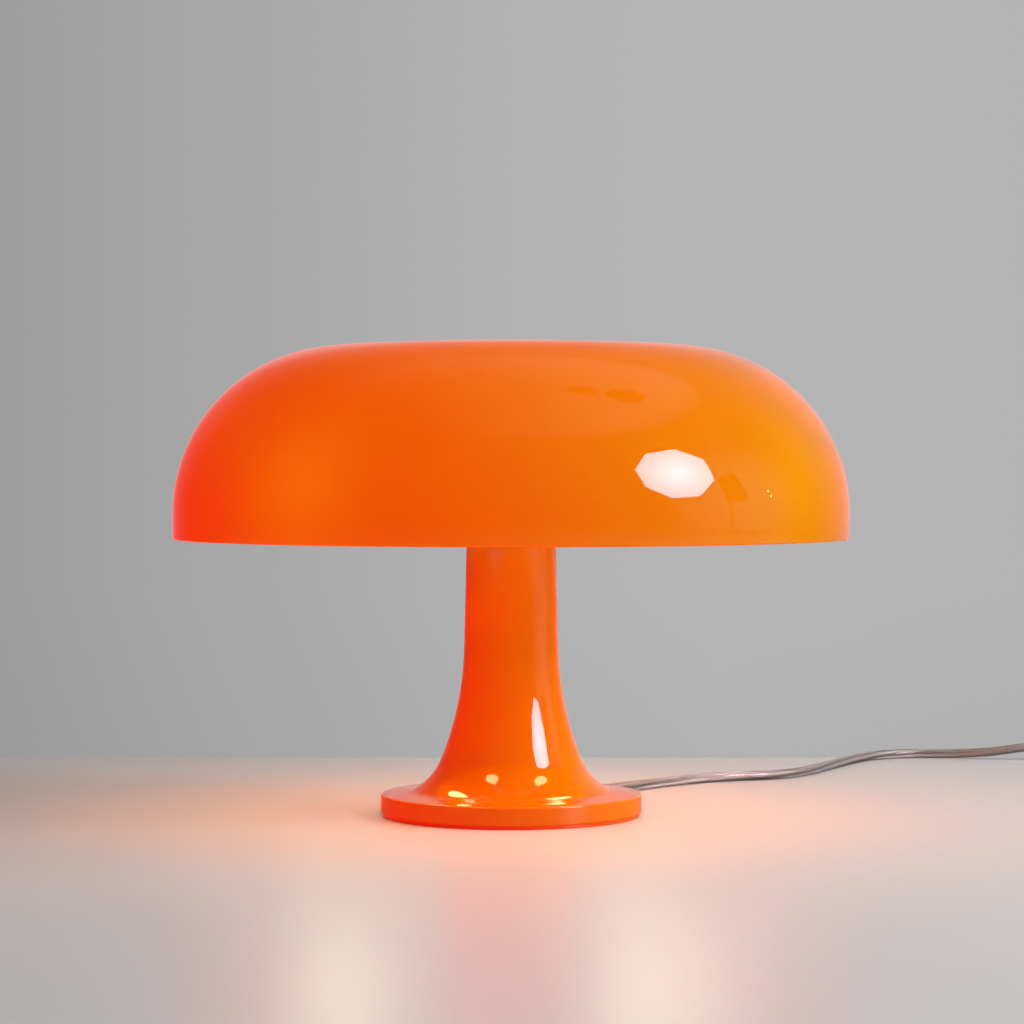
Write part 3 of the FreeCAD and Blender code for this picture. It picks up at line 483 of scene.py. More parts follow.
# stops from the side away from the light to the side towards it: the body colours are painted shade, darker away
# from the light, and the glow colours a painted glow, strongest away from the light and rising again as a
# painted highlight at the outline towards it
shadePlastic = {
    "body": [(-1.0, (0.60, 0.090, 0.001)), (-0.6, (0.62, 0.200, 0.0015)), (1.0, (0.60, 0.218, 0.002))],
    "glow": [(-1.0, (0.76, 0.003, 0.0)), (-0.3, (0.61, 0.010, 0.0)), (0.0, (0.53, 0.012, 0.0)),
             (0.33, (0.39, 0.011, 0.0)), (0.72, (0.19, 0.008, 0.0)), (0.88, (0.14, 0.006, 0.0)),
             (0.95, (0.26, 0.008, 0.004)), (1.0, (0.50, 0.024, 0.016))],
    "added": (0.06, 0.058, 0.0),     # to the painted glow, beside a bulb
    "indirect": 0.8,         # how much of the glow reaches other things
    "paintedReflection": 0.8,         # painted reflection of the glow, added for gloss
    "satin": False,
}
stemPlastic = {
    "body": [(-1.0, (0.47, 0.058, 0.001)), (-0.5, (0.48, 0.104, 0.001)), (0.0, (0.485, 0.138, 0.001)),
             (1.0, (0.49, 0.188, 0.002))],
    "glow": [(-1.0, (0.34, 0.001, 0.0)), (0.0, (0.18, 0.001, 0.0)), (0.8, (0.10, 0.001, 0.0)),
             (1.0, (0.32, 0.010, 0.002))],
    "added": (0.22, 0.003, 0.0),     # to the painted glow, on the disc's side
    "indirect": 0.3,
    "paintedReflection": 3.3,
    "satin": True,
}
# the foot ring's body colour is painted darker away from the light, and it gets a painted glow
footPlastic = {
    "body": [(-1.0, (0.55, 0.020, 0.001)), (0.0, (0.60, 0.045, 0.001)), (1.0, (0.62, 0.160, 0.002))],
    "glow": [(-1.0, (0.56, 0.002, 0.0)), (0.0, (0.50, 0.003, 0.0)), (1.0, (0.26, 0.002, 0.0))],
    "added": (0.0, 0.0, 0.0),
    "indirect": 0.3,
    "paintedReflection": 0.0,
    "satin": False,
}


def orangeFinish(name, look, plastic):
    material, tree, shader = newFinish(name)
    marks = groupNode(tree, handling, Scale=9.0, Cover=0.52)
    flow = groupNode(tree, grain, Scale=320.0, Waves=0.85)
    place = addNode(tree, "ShaderNodeTexCoord").outputs
    path = addNode(tree, "ShaderNodeLightPath").outputs
    added = addNode(tree, "ShaderNodeAttribute", attribute_name="paintedAddedGlow").outputs["Fac"]
    # how far each point faces the light, which sets the painted shade and the painted glow below
    side = facing(tree, place["Normal"], look["towardsLight"])
    # painted shade: the body colour is darker on the side away from the light, times the flow's random tone
    body = mixed(tree, 1.0, ramped(tree, side, plastic["body"]), mixed(tree, flow["Tone"], *look["flow"]),
                 blend="MULTIPLY")
    # painted glow, strongest on the side away from the light, plus the painted glow beside a bulb or on the
    # disc's side
    glow = mixed(tree, 1.0, ramped(tree, side, plastic["glow"]), mixed(tree, added, black, plastic["added"]),
                 blend="ADD")
    # painted highlight: more painted glow on the shoulder that faces the light
    upper = stretched(tree, facing(tree, place["Normal"], look["towardsUpper"]), (0.0, 1.0), look["upperFrom"])
    glow = mixed(tree, 1.0, glow, mixed(tree, upper, black, look["paintedShoulderGlow"]), blend="LIGHTEN")
    # painted reflection: gloss from further off shows the glow stronger; other rays get less of it
    paintedReflection = stretched(tree, path["Ray Length"], (0.0, plastic["paintedReflection"]), look["mirroredFrom"])
    strength = combined(tree, "ADD", stretched(tree, path["Is Diffuse Ray"], (1.0, plastic["indirect"])),
                        combined(tree, "MULTIPLY", paintedReflection, path["Is Glossy Ray"]))
    roughness = stretched(tree, marks["Smears"], look["roughness"])
    # the stem's top turns satin, and its painted glow is dimmed there
    if plastic["satin"]:
        height = addNode(tree, "ShaderNodeSeparateXYZ", Vector=place["Object"]).outputs["Z"]
        satin = stretched(tree, height, (0.0, look["satinRoughness"]), look["satinFrom"])
        roughness = combined(tree, "MAXIMUM", roughness, satin)
        strength = combined(tree, "MULTIPLY", strength,
                            stretched(tree, height, (1.0, look["paintedGlowAtTop"]), look["satinFrom"]))
    give(tree, shader, {
        "Base Color": body,
        "Roughness": roughness,
        "Normal": bumped(tree, flow["Height"], strength=0.05, distance=0.0004),
        "IOR": 1.5,
        "Subsurface Weight": look["subsurface"],
        "Subsurface Radius": look["radius"],
        "Subsurface Scale": look["depth"],
        "Emission Color": glow,
        "Emission Strength": strength,
    })
    return material


def mouldedFinish(name, dark, pale, roughness, grains, bump):
    material, tree, shader = newFinish(name)
    marks = groupNode(tree, handling, Scale=25.0, Cover=0.5)
    surface = groupNode(tree, grain, Scale=grains, Waves=0.3)
    give(tree, shader, {
        "Base Color": mixed(tree, surface["Tone"], dark, pale),
        "Roughness": stretched(tree, marks["Smears"], roughness),
        "Normal": bumped(tree, surface["Height"], bump, distance=0.0003),
    })
    return material


def metalFinish(name, clean, tarnished, roughness, lines, stretch, bump, metallic=1.0):
    material, tree, shader = newFinish(name)
    surface = groupNode(tree, machined, Scale=lines, Stretch=stretch)
    give(tree, shader, {
        "Base Color": mixed(tree, surface["Tarnish"], clean, tarnished),
        "Roughness": stretched(tree, surface["Tarnish"], roughness),
        "Normal": bumped(tree, surface["Lines"], bump, distance=0.0002),
        "Metallic": metallic,
    })
    return material


# dark and pale tone, roughness, fineness of the grain, strength of its bump
plainFinishes = {
    "padRubber": ((0.030, 0.027, 0.025), (0.045, 0.040, 0.037), (0.6, 0.8), 1400.0, 0.4),
    "coverPaint": ((0.022, 0.020, 0.020), (0.034, 0.031, 0.030), (0.32, 0.5), 1100.0, 0.3),
    "whitePhenolic": ((0.74, 0.71, 0.64), (0.80, 0.77, 0.70), (0.28, 0.45), 1500.0, 0.15),
    "glazedInsulator": ((0.80, 0.78, 0.72), (0.86, 0.84, 0.79), (0.14, 0.28), 700.0, 0.1),
    "blackSleeving": ((0.012, 0.012, 0.012), (0.022, 0.021, 0.020), (0.3, 0.45), 900.0, 0.15),
    "ivoryPlastic": ((0.76, 0.74, 0.67), (0.81, 0.79, 0.73), (0.16, 0.3), 1300.0, 0.12),
    "rockerPlastic": ((0.64, 0.62, 0.56), (0.70, 0.68, 0.62), (0.2, 0.36), 1500.0, 0.15),
    "softTie": ((0.70, 0.69, 0.65), (0.78, 0.77, 0.73), (0.4, 0.55), 2500.0, 0.3),
    "blackGlass": ((0.010, 0.010, 0.012), (0.02, 0.02, 0.022), (0.08, 0.2), 600.0, 0.05),
}

# clean and tarnished tone, roughness, fineness of the lines, their stretch and bump, how metallic
metalFinishes = {
    "brass": ((0.72, 0.50, 0.20), (0.62, 0.40, 0.14), (0.16, 0.34), 500.0, 0.5, 0.2),
    "zincSteel": ((0.62, 0.62, 0.60), (0.50, 0.51, 0.50), (0.24, 0.42), 700.0, 0.06, 0.3),
    "castIron": ((0.10, 0.10, 0.105), (0.15, 0.14, 0.135), (0.55, 0.75), 350.0, 1.0, 0.6),
    "nickel": ((0.74, 0.71, 0.65), (0.66, 0.63, 0.57), (0.10, 0.24), 900.0, 0.05, 0.12, 0.7),
    "tinnedStrands": ((0.80, 0.75, 0.73), (0.62, 0.57, 0.55), (0.3, 0.45), 1500.0, 0.8, 0.1, 0.35),
}

shadeOrange = orangeFinish("shadeOrange", orangePlastic, shadePlastic)
stemOrange = orangeFinish("stemOrange", orangePlastic, stemPlastic)
footRed = orangeFinish("footRed", orangePlastic, footPlastic)
finish = {name: mouldedFinish(name, *look) for name, look in plainFinishes.items()}
finish.update({name: metalFinish(name, *look) for name, look in metalFinishes.items()})

clearSheath = {"tint": ((0.93, 0.89, 0.87), (0.96, 0.94, 0.93)), "roughness": (0.12, 0.26), "index": 1.5}


def sheathFinish(look):
    material, tree, shader = newFinish("clearSheath")
    marks = groupNode(tree, handling, Scale=40.0, Cover=0.45)
    surface = groupNode(tree, grain, Scale=500.0, Waves=0.6)
    give(tree, shader, {
        "Base Color": mixed(tree, marks["Smears"], *look["tint"]),
        "Roughness": stretched(tree, marks["Smears"], look["roughness"]),
        "Normal": bumped(tree, surface["Height"], strength=0.15, distance=0.0003),
        "Transmission Weight": 1.0,
        "IOR": look["index"],
    })
    return material


sheath = sheathFinish(clearSheath)

opalGlass = {
    "tint": (0.93, 0.90, 0.84),
    "roughness": (0.12, 0.3),
    "edge": (0.95, 0.45, 0.12),      # the glow's colour at the cap
    "warm": (1.0, 0.70, 0.27),       # and on the globe
    "spread": (1.0, 0.70, 0.42),     # as it lights the rest
    "far": (0.68, 0.63, 0.44),       # as gloss shows it from further off than these distances
    "farFrom": (0.24, 0.32),
    "seen": ((1.0, 0.92, 0.74), (1.0, 0.66, 0.30)),      # as the camera shows it, from its middle to its outline
    "seenStrength": 1.12,
    "strength": 15.0,        # as it lights the rest
    "gloss": (0.5, 17.0),    # as gloss shows it from nearer, and from further off, than these distances
    "nearFrom": (0.098, 0.116),
    "dimmed": (0.50, 0.74),  # where the glow falls off towards the outline, from face-on 0 to edge-on 1
    "outlineShare": 0.1,     # the share of it that is left there
    "neckEnd": 0.28,         # share of the bulb's glass that the glow leaves dim, from the cap
}


# the glow runs from dim at the cap to full on the globe, by the mark that says how far along each point is
def opalFinish(look):
    material, tree, shader = newFinish("opalGlass")
    marks = groupNode(tree, handling, Scale=30.0, Cover=0.5)
    along = addNode(tree, "ShaderNodeAttribute", attribute_name="alongBulb").outputs["Fac"]
    path = addNode(tree, "ShaderNodeLightPath").outputs
    outline = addNode(tree, "ShaderNodeLayerWeight", Blend=0.5).outputs["Facing"]
    colour = mixed(tree, stretched(tree, along, (0.0, 1.0), (0.0, look["neckEnd"])), look["edge"], look["warm"])
    colour = mixed(tree, path["Is Diffuse Ray"], colour, look["spread"])
    far = combined(tree, "MULTIPLY", stretched(tree, path["Ray Length"], (0.0, 1.0), look["farFrom"]),
                   path["Is Glossy Ray"])
    colour = mixed(tree, far, colour, look["far"])
    colour = mixed(tree, path["Is Camera Ray"], colour, mixed(tree, outline, *look["seen"]))
    gloss = stretched(tree, path["Ray Length"], look["gloss"], look["nearFrom"])
    strength = mixed(tree, path["Is Glossy Ray"], look["strength"], gloss, kind="FLOAT")
    strength = combined(tree, "MULTIPLY", strength,
                        stretched(tree, outline, (1.0, look["outlineShare"]), look["dimmed"]))
    strength = mixed(tree, path["Is Camera Ray"], strength, look["seenStrength"], kind="FLOAT")
    give(tree, shader, {
        "Base Color": (*look["tint"], 1.0),
        "Roughness": stretched(tree, marks["Smears"], look["roughness"]),
        "Emission Color": colour,
        "Emission Strength": strength,
    })
    return material


opal = opalFinish(opalGlass)
print("finishes made")


# a conductor winds round the cord's middle, and its edge is lobed by the strands that wind round it in turn
def conductorMesh(line, run, sizes, phase):
    side, up = squareTo(line)
    angle = 2 * math.pi * run / sizes["wirePitch"] + phase
    middle = line + sizes["wireOffset"] * (np.cos(angle)[:, None] * side + np.sin(angle)[:, None] * up)
    strand = anglesRound(sizes["wireSides"])[None, :] - 2 * math.pi * run[:, None] / sizes["strandPitch"]
    lobes = 1 - sizes["lobeDepth"] * (1 - np.cos(sizes["strandsRound"] * strand))
    return tubeMesh(middle, sizes["wireRadius"] * lobes)


# the clear sheath and, inside it, its two conductors, which stop just short of its closed ends
def laidCord(name, route, sizes, replaced):
    cord = cordCurve(name, route, sizes)
    cord.data.materials.append(sheath)
    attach(cord, "lamp")
    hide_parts(*replaced)
    line, run = (values[2:-2] for values in cordLine(route, sizes))
    first, firstFaces = conductorMesh(line, run, sizes, 0.0)
    second, secondFaces = conductorMesh(line, run, sizes, math.pi)
    faces = firstFaces + [[corner + len(first) for corner in face] for face in secondFaces]
    wires = meshPiece(name + "Wires", np.vstack([first, second]), faces, finish["tinnedStrands"], "lamp")
    return cord


lead = laidCord("cordLead", leadRoute, cordSizes, ["cord_lead"])
tail = laidCord("cordCoil", tailRoute + coilPoints(coilSizes) + plugRoute, cordSizes,
                ["cord_tail", "cord_coil", "cord_plug_lead"])
print("cords laid")

shadeSizes = {
    "radius": 160.0,
    "wall": 2.8,
    "rimHeight": 131.3,
    "wallHeight": 12.0,
    "shoulderRadius": 79.0,
    "crownRadius": 1600.0,
    "rimRounding": 0.9,
    "ringRadii": (24.5, 26.9),       # of the moulded ring that stops the shade sliding sideways
    "ringDepth": 8.0,
    "ringRoundings": (0.5, 0.6),     # at its root and its lip
    "landDrop": 1.0,             # of the flat land inside the ring, below the shoulder's end
    "shoulderSteps": 56,
    "crownSteps": 14,
}


# the dome's line from the top of its wall to the axis, or to a stop radius on the crown, moved in by inset:
# the shoulder's arc up to where it meets the crown's, whose middle lies far down on the axis
def domeLine(sizes, inset, stopRadius):
    shoulder, crown = those(sizes, "shoulderRadius crownRadius")
    middle = (sizes["radius"] - shoulder, sizes["rimHeight"] + sizes["wallHeight"])
    drop = math.sqrt((crown - shoulder) ** 2 - middle[0] ** 2)
    lean = math.atan2(drop, middle[0])
    stop = math.acos(stopRadius / (crown - inset))
    shoulderLine = arcPoints(middle, shoulder - inset, 0.0, lean, sizes["shoulderSteps"])
    crownLine = arcPoints((0.0, middle[1] - drop), crown - inset, lean, stop, sizes["crownSteps"])
    return np.vstack([shoulderLine, crownLine[1:]])


def makeShade(sizes):
    radius, wall, rim, rounding = those(sizes, "radius wall rimHeight rimRounding")
    (near, far), (root, lip) = those(sizes, "ringRadii ringRoundings")
    outer = domeLine(sizes, 0.0, 0.0)
    outer[-1, 0] = 0.0
    inner = domeLine(sizes, wall, far)[::-1]
    land = inner[-sizes["shoulderSteps"], 1] - sizes["landDrop"]
    ringEnd = land - sizes["ringDepth"]
    collar = roundedProfile([(0.0, land), (near, land, root), (near, ringEnd, lip), (far, ringEnd, lip),
                             (far, inner[0, 1], root), tuple(inner[1])])[:-1]
    edge = roundedProfile([tuple(inner[-1]), (radius - wall, rim, rounding), (radius, rim, rounding),
                           tuple(outer[0])])[1:-1]
    profile = np.vstack([collar, inner[1:], edge, outer])
    piece = turnedPiece("shadeDome", profile, shadeOrange, "shade", around=320)
    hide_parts("shade")
    return piece


shadeDome = makeShade(shadeSizes)

# where the bulbs stand nearest to the wall, and how far their light spreads on it
glowSpots = {"radius": 157.0, "height": 158.0, "spread": 21.0}


# how much painted glow of a bulb's own light each point gets: a bell curve round the point of the wall that
# faces the bulb
def markBulbs(piece, look):
    spots = ringsRound(look["radius"], look["height"], np.radians(bulbAzimuths))
    away = np.linalg.norm(vertexPlaces(piece.data)[:, None] / mm - spots, axis=2)
    markPoints(piece, "paintedAddedGlow", np.exp(-(away / look["spread"]) ** 2 / 2).sum(axis=1))


markBulbs(shadeDome, glowSpots)
print("shade made")

stemSizes = {
    "topHeight": 141.0,
    "topRadius": 20.99,
    "taper": 0.024,                    # radius gained for each millimetre down
    "topRounding": 1.0,
    "topWall": 4.0,
    "wall": 2.5,
    "tubeHole": 5.2,
    "arcRadii": (148.4, 28.4, 11.5),
    "arcAngles": (22.2, 60.0, 85.0),   # from upright, at the lower end of each arc
    "arcSteps": 28,
    "discRadius": 61.9,
    "discEdgeHeight": 10.3,
    "discRounding": 0.9,
    "footHeight": 1.6,
}


# the flare: three arcs that hollow outwards from the stem's taper to the disc's sloping top, moved in by inset
def flareLine(sizes, inset):
    taper = sizes["taper"]
    angles = [math.atan(taper)] + [math.radians(a) for a in sizes["arcAngles"]]
    arcs = list(zip(sizes["arcRadii"], angles, angles[1:]))
    spread = sum(r * (math.cos(a) - math.cos(b)) for r, a, b in arcs)
    fall = sum(r * (math.sin(b) - math.sin(a)) for r, a, b in arcs)
    slope = 1 / math.tan(angles[-1])
    neck = sizes["topRadius"] + taper * sizes["topHeight"]
    rest = fall + sizes["discEdgeHeight"] + slope * (sizes["discRadius"] - neck - spread)
    z = rest / (1 - slope * taper)
    x = neck - taper * z
    runs = []
    for radius, above, below in arcs:
        centre = (x + radius * math.cos(above), z + radius * math.sin(above))
        run = arcPoints(centre, radius + inset, math.pi + above, math.pi + below, sizes["arcSteps"])
        runs.append(run[1:] if runs else run)
        x += radius * (math.cos(above) - math.cos(below))
        z -= radius * (math.sin(below) - math.sin(above))
    return np.vstack(runs), slope


def makeStem(sizes):
    neck, wall, topWall, rounding = those(sizes, "topRadius wall topWall discRounding")
    foot, disc, top, hole = those(sizes, "footHeight discRadius topHeight tubeHole")
    outside, slope = flareLine(sizes, 0.0)
    inside, slope = flareLine(sizes, wall)
    cavity = disc - wall
    edgeTop = outside[-1, 1] - slope * (disc - outside[-1, 0])
    ceilingEdge = inside[-1, 1] - slope * (cavity - inside[-1, 0])
    ceilingRadius = neck + sizes["taper"] * topWall - wall
    rim = roundedProfile([(cavity, foot), (disc, foot, rounding), (disc, edgeTop, rounding),
                          tuple(outside[-1])], steps=9)[:-1]
    head = roundedProfile([tuple(outside[0]), (neck, top, sizes["topRounding"]), (hole, top)])[1:]
    inner = np.vstack([[hole, top - topWall], [ceilingRadius, top - topWall], inside, [cavity, ceilingEdge]])
    profile = np.vstack([rim, outside[::-1], head, inner])
    piece = turnedPiece("stemAndBase", profile, stemOrange, "lamp", around=320)
    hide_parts("stem_and_base")
    return piece


stemAndBase = makeStem(stemSizes)

# painted glow on the stem's disc side and, at a share of that, on its flare
paintedSideGlow = {
    "sideFrom": (0.1, 0.5),      # past the inner end of the disc's rounding
    "flareShare": 0.4,
    "flareDown": (80.0, 50.0),   # heights between which it comes in on the flare
    "flareUp": (20.0, 40.0),     # and goes out again
}


# how much painted glow each point gets: 1 on the disc's side, falling to 0 where its rounding ends on the top,
# and a part of that on the flare
def markPaintedSideGlow(piece, sizes, look):
    x, y, z = vertexPlaces(piece.data).T / mm
    start = sizes["discRadius"] - sizes["discRounding"]
    side = shareBetween(np.hypot(x, y) - start, *look["sideFrom"])
    flare = look["flareShare"] * shareBetween(z, *look["flareDown"]) * shareBetween(z, *look["flareUp"])
    markPoints(piece, "paintedAddedGlow", np.maximum(side, flare))


markPaintedSideGlow(stemAndBase, stemSizes, paintedSideGlow)

footSizes = {"outer": 60.9, "inner": 54.3, "height": 1.6, "rounding": 0.4}


def makeFoot(sizes):
    inner, outer, height, lip = those(sizes, "inner outer height rounding")
    profile = roundedProfile([(inner, 0.0, lip), (outer, 0.0, lip), (outer, height), (inner, height)])
    piece = turnedPiece("footRing", profile, footRed, "lamp", around=256)
    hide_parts("foot_ring")


makeFoot(footSizes)
print("stem and base made")

bulbSizes = {
    "height": 156.0,
    "start": 52.3,               # of the tip contact, from the lamp's axis
    "length": 76.0,
    "globeRadius": 22.5,
    "wall": 0.8,
    "neckRadius": 6.9,
    "neckFillet": 14.0,
    "tipHeight": 1.4,
    "tipRadius": 2.3,
    "capLength": 19.0,
    "capRadius": 6.85,
    "insulatorLength": 2.6,
    "coneStep": 0.8,             # by which it is wider than the tip
    "coneInset": 0.4,            # and narrower than the cap
    "coneRoundings": (0.3, 0.6),
    "threadPitch": 2.82,
    "threadDepth": 0.62,
    "threadStep": 0.35,          # from ring to ring of its mesh
    "filletSteps": 12,
    "globeSteps": 40,
}


# half the glass's outline from the cap to the far end of the globe, moved in by inset
def bulbLine(sizes, inset):
    start, cap, length, globe = those(sizes, "start capLength length globeRadius")
    neck, fillet = those(sizes, "neckRadius neckFillet")
    centre = start + length - globe
    middleZ = centre - math.sqrt((globe + fillet) ** 2 - (neck + fillet) ** 2)
    lean = math.atan2(centre - middleZ, neck + fillet)
    hollow = arcPoints((neck + fillet, middleZ), fillet + inset, math.pi, math.pi - lean, sizes["filletSteps"])
    ball = arcPoints((0.0, centre), globe - inset, -lean, math.pi / 2, sizes["globeSteps"])
    ball[-1, 0] = 0.0
    return np.vstack([[neck - inset, start + cap], hollow, ball[1:]])


# a threaded wall, whose radius waves once for each turn of the thread and runs out at both ends:
# radius - depth (1 - cos(2 pi z / pitch - t)) / 2
def threadedMesh(bottom, top, radius, sizes, around):
    height = np.linspace(bottom, top, int((top - bottom) / sizes["threadStep"]) + 1)[:, None]
    turn = anglesRound(around)
    wave = 0.5 + 0.5 * np.cos(2 * math.pi * height / sizes["threadPitch"] - turn)
    fade = shareBetween(np.minimum(height - bottom, top - height), 0.0, sizes["threadPitch"])
    rings = ringsRound(radius - sizes["threadDepth"] * (1 - wave) * fade, height, turn)
    return ringsMesh(rings, [0, 0, bottom], [0, 0, top])


def makeBulb(number, azimuth, sizes):
    place = laidOut(azimuth, sizes["height"])
    body = "bulb_%d" % number
    start, length, capLength, capRadius = those(sizes, "start length capLength capRadius")
    profile = np.vstack([bulbLine(sizes, sizes["wall"])[::-1], bulbLine(sizes, 0.0)])
    glass = turnedPiece("bulbGlass_%d" % number, profile, opal, body, around=96, place=place)
    out = np.array([math.cos(math.radians(azimuth)), math.sin(math.radians(azimuth)), 0.0])
    markPoints(glass, "alongBulb",
               (vertexPlaces(glass.data) @ out / mm - start - capLength) / (length - capLength))
    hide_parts("bulb_glass_%d" % number)
    coneStart = start + sizes["tipHeight"]
    coneEnd = coneStart + sizes["insulatorLength"]
    points, faces = threadedMesh(coneEnd, start + capLength, capRadius, sizes, around=64)
    cap = meshPiece("bulbCap_%d" % number, placed(points * mm, place), faces, finish["brass"], body)
    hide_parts("bulb_cap_%d" % number)
    narrow, wide = sizes["coneRoundings"]
    cone = roundedProfile([(0.0, coneStart), (sizes["tipRadius"] + sizes["coneStep"], coneStart, narrow),
                           (capRadius - sizes["coneInset"], coneEnd, wide), (0.0, coneEnd)])
    turnedPiece("bulbInsulator_%d" % number, cone, finish["blackGlass"], body, around=48, place=place)


for number, azimuth in enumerate(bulbAzimuths, 1):
    makeBulb(number, azimuth, bulbSizes)
print("bulbs made")

seatTubeSizes = {"radius": 5.0, "threadPitch": 1.0, "threadDepth": 0.35, "threadStep": 0.16}


def makeSeatTube(sizes):
    low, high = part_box("seat_tube")
    points, faces = threadedMesh(low.z / mm, high.z / mm, sizes["radius"], sizes, around=48)
    piece = meshPiece("seatTube", points * mm, faces, finish["zincSteel"], "lamp")
    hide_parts("seat_tube")


makeSeatTube(seatTubeSizes)

reliefSizes = {
    "azimuth": 60.0,
    "exitHeight": 5.4,
    "endHeight": 3.4,
    "start": 59.4,
    "wallOutside": 61.95,
    "flangeEnd": 63.05,
    "end": 85.9,
    "shankRadius": 3.0,
    "flangeRadius": 4.1,
    "nearBevel": (0.2, 0.25),        # of the flange's edges, along and across
    "farBevel": (0.25, 0.3),
    "startRadius": 3.9,
    "endRadius": 3.05,
    "ribPitch": 2.6,
    "ribDepth": 0.55,
    "grooveSteepness": 1.6,
    "grooveOffset": 0.25,
    "grooveFades": (12.0, 8.0),      # how fast the grooves come in at the flange and go out at the end
    "sleeveSteps": 150,
    "sides": 64,
}


# a bush, a flange and a tapered sleeve with square-shouldered grooves, along a line that leans down to the table
def makeRelief(sizes):
    start, out, flangeEnd, end = those(sizes, "start wallOutside flangeEnd end")
    shank, flange, near, far = those(sizes, "shankRadius flangeRadius nearBevel farBevel")
    thick, thin, exitHeight, endHeight = those(sizes, "startRadius endRadius exitHeight endHeight")
    sleeve = np.linspace(flangeEnd, end, sizes["sleeveSteps"])
    share = (sleeve - flangeEnd) / (end - flangeEnd)
    phase = np.cos(2 * math.pi * (sleeve - flangeEnd) / sizes["ribPitch"])
    grooves = np.clip(0.5 - sizes["grooveSteepness"] * (phase + sizes["grooveOffset"]), 0, 1)
    fadeIn, fadeOut = sizes["grooveFades"]
    grooves = grooves * np.clip(fadeIn * share, 0, 1) * np.clip(fadeOut * (1 - share), 0, 1)
    radius = np.concatenate([[shank, shank, flange - near[1], flange, flange, flange - far[1]],
                             thick + (thin - thick) * share - sizes["ribDepth"] * grooves,
                             [thin - far[1]]])[:, None]
    x = np.concatenate([[start, out, out, out + near[0], flangeEnd - far[0], flangeEnd], sleeve, [end]])
    z = exitHeight + (endHeight - exitHeight) * shareBetween(x, out, end)
    rings = np.roll(ringsRound(radius, x[:, None], anglesRound(sizes["sides"])), 1, axis=-1)
    rings[..., 2] += z[:, None]
    points, faces = ringsMesh(rings, [x[0], 0, z[0]], [x[-1], 0, z[-1]])
    place = Matrix.Rotation(math.radians(sizes["azimuth"]), 4, "Z")
    piece = meshPiece("cordRelief", placed(points * mm, place), faces, finish["ivoryPlastic"], "lamp")
    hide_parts("cord_gland")


makeRelief(reliefSizes)
print("fittings made")

# the finishes of the pieces that stay as they are, with numbered ones named without their numbers
nodeFinishes = {
    "coverPaint": ["base_cover"],
    "castIron": ["ballast_ring"],
    "zincSteel": ["base_screws", "cord_clamp", "clamp_screws", "stem_tube", "tube_nuts", "stem_washer",
                  "holder_tubes", "holder_nuts", "switch_screws", "bulb_tip"],
    "blackSleeving": ["inner_cord", "holder_wires"],
    "whitePhenolic": ["cluster_hub", "hub_cover", "shade_seat", "holder_body"],
    "glazedInsulator": ["terminal_block", "holder_insert"],
    "brass": ["centre_contacts", "screw_shell"],
    "padRubber": ["seat_pad"],
    "ivoryPlastic": ["switch_base", "switch_top", "plug_body"],
    "rockerPlastic": ["switch_rocker"],
    "softTie": ["coil_tie"],
    "nickel": ["plug_pins"],
}
for name, node in nodes.items():
    for finishName, names in nodeFinishes.items():
        if name.rstrip("_1234") in names:
            if not node.material_slots:
                node.data.materials.append(None)
            node.material_slots[0].material = finish[finishName]

print("finishes given")

tableLook = {
    "halfWidth": 2.2,
    "front": -2.0,
    "back": 0.284,
    "thickness": 0.035,
    "edge": 0.003,
    "tones": ((0.605, 0.590, 0.598), (0.618, 0.603, 0.611)),
    "roughness": (0.33, 0.36),
    "gloss": 0.165,
    "paintedReflection": (0.22, 0.20, 0.18),      # painted reflection: the table's colour as the lamp's gloss shows it
}


def makeTable(look):
    material, tree, shader = newFinish("paleTable")
    surface = groupNode(tree, grain, Scale=60.0, Waves=0.9)
    path = addNode(tree, "ShaderNodeLightPath").outputs
    give(tree, shader, {
        "Specular IOR Level": look["gloss"],
        "Base Color": mixed(tree, path["Is Glossy Ray"], mixed(tree, surface["Tone"], *look["tones"]),
                            look["paintedReflection"]),
        "Roughness": stretched(tree, surface["Tone"], look["roughness"]),
    })
    x, front, back, low = look["halfWidth"], look["front"], look["back"], -look["thickness"]
    corners = [(sx, sy, sz) for sz in (low, 0.0) for sx, sy in ((-x, front), (x, front), (x, back), (-x, back))]
    faces = [(3, 2, 1, 0), (4, 5, 6, 7), (0, 1, 5, 4), (1, 2, 6, 5), (2, 3, 7, 6), (3, 0, 4, 7)]
    table = meshObject("tableTop", corners, faces, material)
    bevel = table.modifiers.new("edge", "BEVEL")
    bevel.width = look["edge"]
    bevel.segments = 3


makeTable(tableLook)

softboxLook = {
    "towards": (59.6, 24.0),
    "aim": (0.070, -0.141, 0.163),
    "distance": 1.3,
    "radius": 0.345,
    "sides": 8,
    "turn": 24.5,                # degrees about its own middle
    "shown": (23.0, 12.5),       # its strength as gloss shows it, at its middle and its rim
    "spread": 9.2,               # as it lights the rest
    "colour": (0.92, 0.83, 1.0),
    "spreadColour": (1.0, 0.96, 0.95),
}


# a direction, from degrees round to the right from the front and degrees above level
def outwards(towards):
    azimuth, height = (math.radians(a) for a in towards)
    level = math.cos(height)
    return Vector((math.sin(azimuth) * level, -math.cos(azimuth) * level, math.sin(height)))


def roomPiece(name, points, material):
    piece = meshObject(name, np.array(points).tolist(), [tuple(range(len(points)))], material)
    piece.visible_camera = False
    return piece


def glowMaterial(name):
    material = bpy.data.materials.new(name)
    material.use_nodes = True
    tree = material.node_tree
    tree.nodes.clear()
    glow = addNode(tree, "ShaderNodeEmission")
    addNode(tree, "ShaderNodeOutputMaterial", Surface=glow.outputs[0])
    return material, tree, glow


